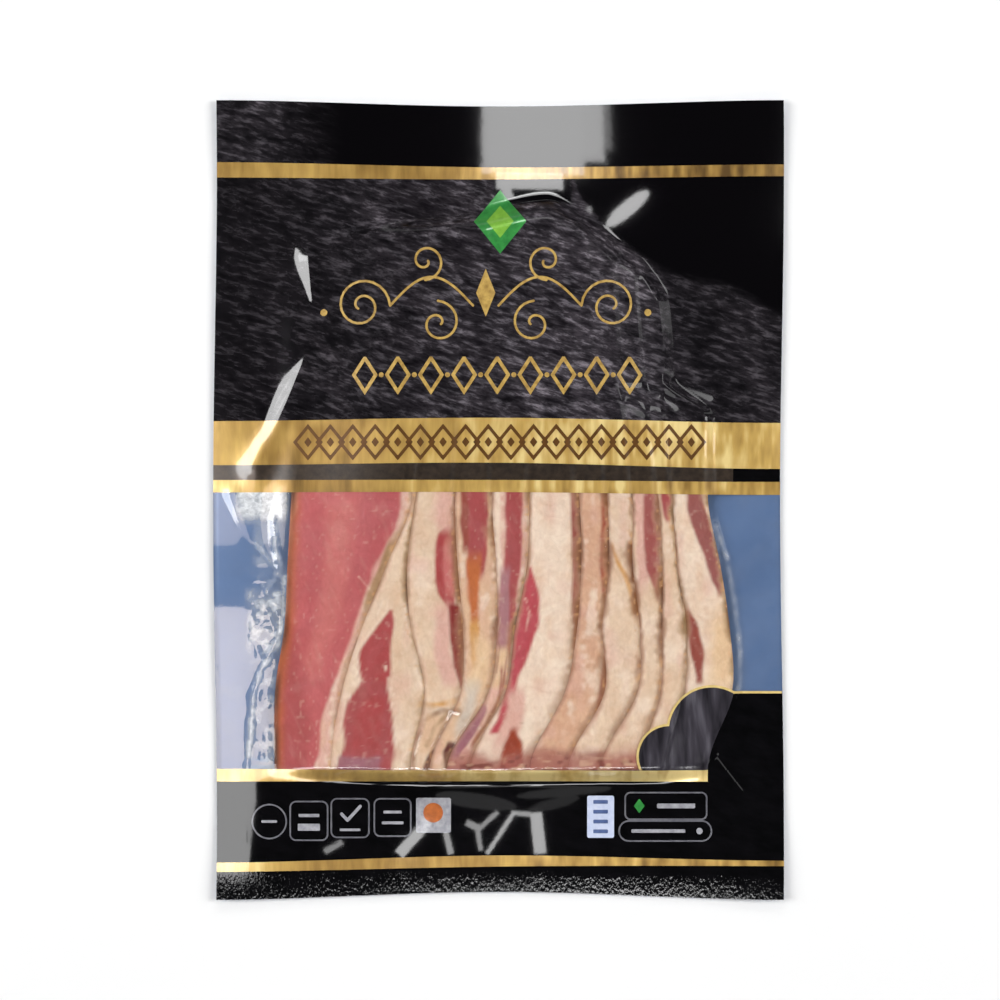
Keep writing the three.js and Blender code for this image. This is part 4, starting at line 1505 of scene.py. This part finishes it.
# Light cards: name, left, right, bottom and top on the pack, brightness, level and colour
CARDS = [
    ("head_card", -4.6, 27, 101.6, 136, 7.2, HEAD_LEVEL, WHITE_LIGHT),
    ("head_card_edge", 27, 33.5, 106, 136, 7.0, HEAD_LEVEL, WHITE_LIGHT),
    ("head_card_fade", 33.5, 36, 110, 136, 2.6, HEAD_LEVEL, WHITE_LIGHT),
    ("left_card", -91, -78.6, -86.5, -33.7, 6.0, LOW_LEVEL, WARM_LIGHT),
    ("left_foot_card", -91, -76.8, -117.5, -86.5, 5.0, LOW_LEVEL, WHITE_LIGHT),
    ("upper_left_card", -91, -77.5, -14, 5, 2.8, LOW_LEVEL, WARM_LIGHT),
    ("ridge_card", -150, -95, -12, 92, 9.5, CARD_LEVEL, WHITE_LIGHT),
    ("rule_card", -118, -95, -6, 14, 5.0, CARD_LEVEL, WHITE_LIGHT),
    ("right_patch_card", 90, 116, 15, 21, 5.0, LOW_LEVEL, WHITE_LIGHT),
    ("upper_right_card", 92.5, 125, 84, 136, 2.8, UPPER_RIGHT_LEVEL, WHITE_LIGHT),
    ("foot_left_card", -94, -44, -165, -132, 7.0, CARD_LEVEL, WHITE_LIGHT),
    ("foot_middle_card", -38, -2, -165, -130, 9.0, CARD_LEVEL, WHITE_LIGHT),
    ("foot_right_card", 6, 78, -165, -127.5, 8.0, CARD_LEVEL, WHITE_LIGHT),
    ("head_low_card", -0.6, 20.5, 97.4, 102.6, 8.0, LOW_LEVEL, WHITE_LIGHT),
]

# Narrow light cards: name, both ends, width, brightness and shape
BARS = [
    ("ridge_patch_bar", (36, 33.5), (54, 28), 9.0, 1.1, "ELLIPSE"),
    ("haze_bar_1", (-20, -93), (6, -97), 5.0, 0.35, "ELLIPSE"),
    ("haze_bar_2", (6, -93.5), (36, -91), 3.0, 0.35, "ELLIPSE"),
    ("haze_bar_3", (10, -98), (26, -94), 3.4, 0.3, "ELLIPSE"),
    ("head_tooth_bar", (1.4, 100), (4.0, 93.2), 3.0, 8.0, "RECTANGLE"),
    ("leaf_bar", (33.6, 86.2), (46.9, 97.4), 4.6, 7.0, "ELLIPSE"),
    ("spot_bar", (26.4, 87.6), (28.6, 92.4), 2.2, 4.5, "ELLIPSE"),
    ("foot_wedge_bar", (-31.6, -112), (-22.2, -101.4), 3.4, 8.5, "RECTANGLE"),
    ("foot_tile_bar", (-14.8, -112), (-16.8, -104.2), 1.9, 6.5, "RECTANGLE"),
    ("foot_short_bar", (-5.3, -111), (-6.6, -102.6), 1.5, 5.5, "RECTANGLE"),
    ("foot_branch_bar", (-10.0, -102.0), (-5.6, -104.2), 2.0, 5.5, "RECTANGLE"),
    ("foot_slant_bar", (-6.2, -104.4), (0.2, -98.6), 1.5, 5.5, "RECTANGLE"),
    ("foot_arch_bar", (-3.4, -112), (5.4, -98.6), 1.3, 8.0, "RECTANGLE"),
    ("foot_top_bar", (4.4, -99.0), (10.6, -99.4), 1.5, 6.5, "RECTANGLE"),
    ("foot_leg_bar", (12.2, -98.8), (13.6, -112), 3.8, 8.0, "RECTANGLE"),
    ("foot_corner_bar", (-55.2, -110.6), (-49.6, -107.6), 1.8, 4.6, "RECTANGLE"),
    ("corner_streak_bar", (69, -81.5), (77, -91), 3.2, 0.9, "RECTANGLE"),
]


def area_light(name, place, target, size, radiance, glossy=True, diffuse=True):
    """Rectangle of light of one brightness. It may be left out of reflections, or give only them."""
    light = bpy.data.lights.new(name, "AREA")
    light.shape = "RECTANGLE"
    light.size, light.size_y = size[0] * MM, size[1] * MM
    light.energy = radiance * 4 * light.size * light.size_y
    holder = add_object(name, light)
    holder.location = Vector(place) * MM
    direction = Vector(target) * MM - holder.location
    holder.rotation_euler = direction.to_track_quat("-Z", "Y").to_euler()
    holder.visible_glossy = glossy
    holder.visible_diffuse = diffuse
    holder.visible_camera = False
    return holder


def card(name, left, right, bottom, top, radiance, level, colour=WHITE_LIGHT):
    """Low light card, which the level film mirrors where these limits on the pack say."""
    nearness = 1 + level / CAMERA_DISTANCE
    across, up = (left + right) / 2 * nearness, (bottom + top) / 2 * nearness
    size = ((right - left) * nearness, (top - bottom) * nearness)
    holder = area_light(name, (across, up, level), (across, up, 0), size, radiance, diffuse=False)
    holder.data.color = colour
    return holder


def bar(name, start, end, width, radiance, shape):
    """Narrow light card, which the level film mirrors along a line on the pack."""
    length = np.hypot(end[0] - start[0], end[1] - start[1])
    middle = ((start[0] + end[0]) / 2, (start[1] + end[1]) / 2)
    left, bottom = middle[0] - width / 2, middle[1] - length / 2
    holder = card(name, left, left + width, bottom, bottom + length, radiance, LOW_LEVEL)
    holder.data.shape = shape
    holder.rotation_euler = (0, 0, float(np.arctan2(start[0] - end[0], end[1] - start[1])))


def make_lights():
    for name, place, size, radiance in SOFT_LIGHTS:
        area_light(name, place, (0, 0, 0), size, radiance, glossy=False)
    for name, place, size, radiance in SHEENS:
        area_light(name, place, (0, 0, 0), size, radiance, diffuse=False)
    for row in CARDS:
        card(*row)
    for row in BARS:
        bar(*row)
    world = bpy.data.worlds.new("studio")
    world.use_nodes = True
    background = world.node_tree.nodes["Background"]
    background.inputs["Color"].default_value = (1, 1, 1, 1)
    background.inputs["Strength"].default_value = 0.03
    bpy.context.scene.world = world


# Flat inks: their name, colour and darker mottle
INKS = {
    "stripe": ("stripe_ink", (60, 50, 42), (36, 30, 26)),
    "gold_ink": ("gold_ink", (206, 172, 96), (150, 118, 60)),
    "brown": ("brown_ink", (104, 70, 34), (84, 54, 26)),
    "white": ("white_ink", (172, 172, 178), (128, 128, 136)),
    "grey": ("grey_ink", (112, 112, 118), (82, 82, 90)),
    "green": ("green_ink", (52, 140, 62), (34, 112, 48)),
    "lime": ("lime_ink", (128, 182, 62), (106, 162, 50)),
    "copper": ("copper_ink", (190, 104, 46), (150, 78, 32)),
    "sky": ("sky_ink", (206, 214, 236), (186, 196, 224)),
    "navy": ("navy_ink", (86, 104, 150), (66, 84, 130)),
    "pale_gold": ("pale_gold_ink", (232, 206, 138), (206, 176, 104)),
}

materials = {
    "black": black_print(),
    "slate": slate_print(),
    "gold": gold_print(),
    "pleated": pleated_print(),
    "clear": clear_film(),
    "blue": blue_film(),
    "meat": meat(),
}
for ink, values in INKS.items():
    materials[ink] = flat_print(*values)

make_camera()
make_lights()
make_floor()
make_back(materials["blue"])
for slice_number in range(SLICE_COUNT):
    make_slice(slice_number, materials["meat"])
make_front(materials)
for name, form, measures, area, ink, slot, cell, layer in PRINT_SHAPES:
    print_shape(name, form, measures, area, materials[ink], cell, layer)
bpy.context.scene.view_settings.view_transform = "Standard"
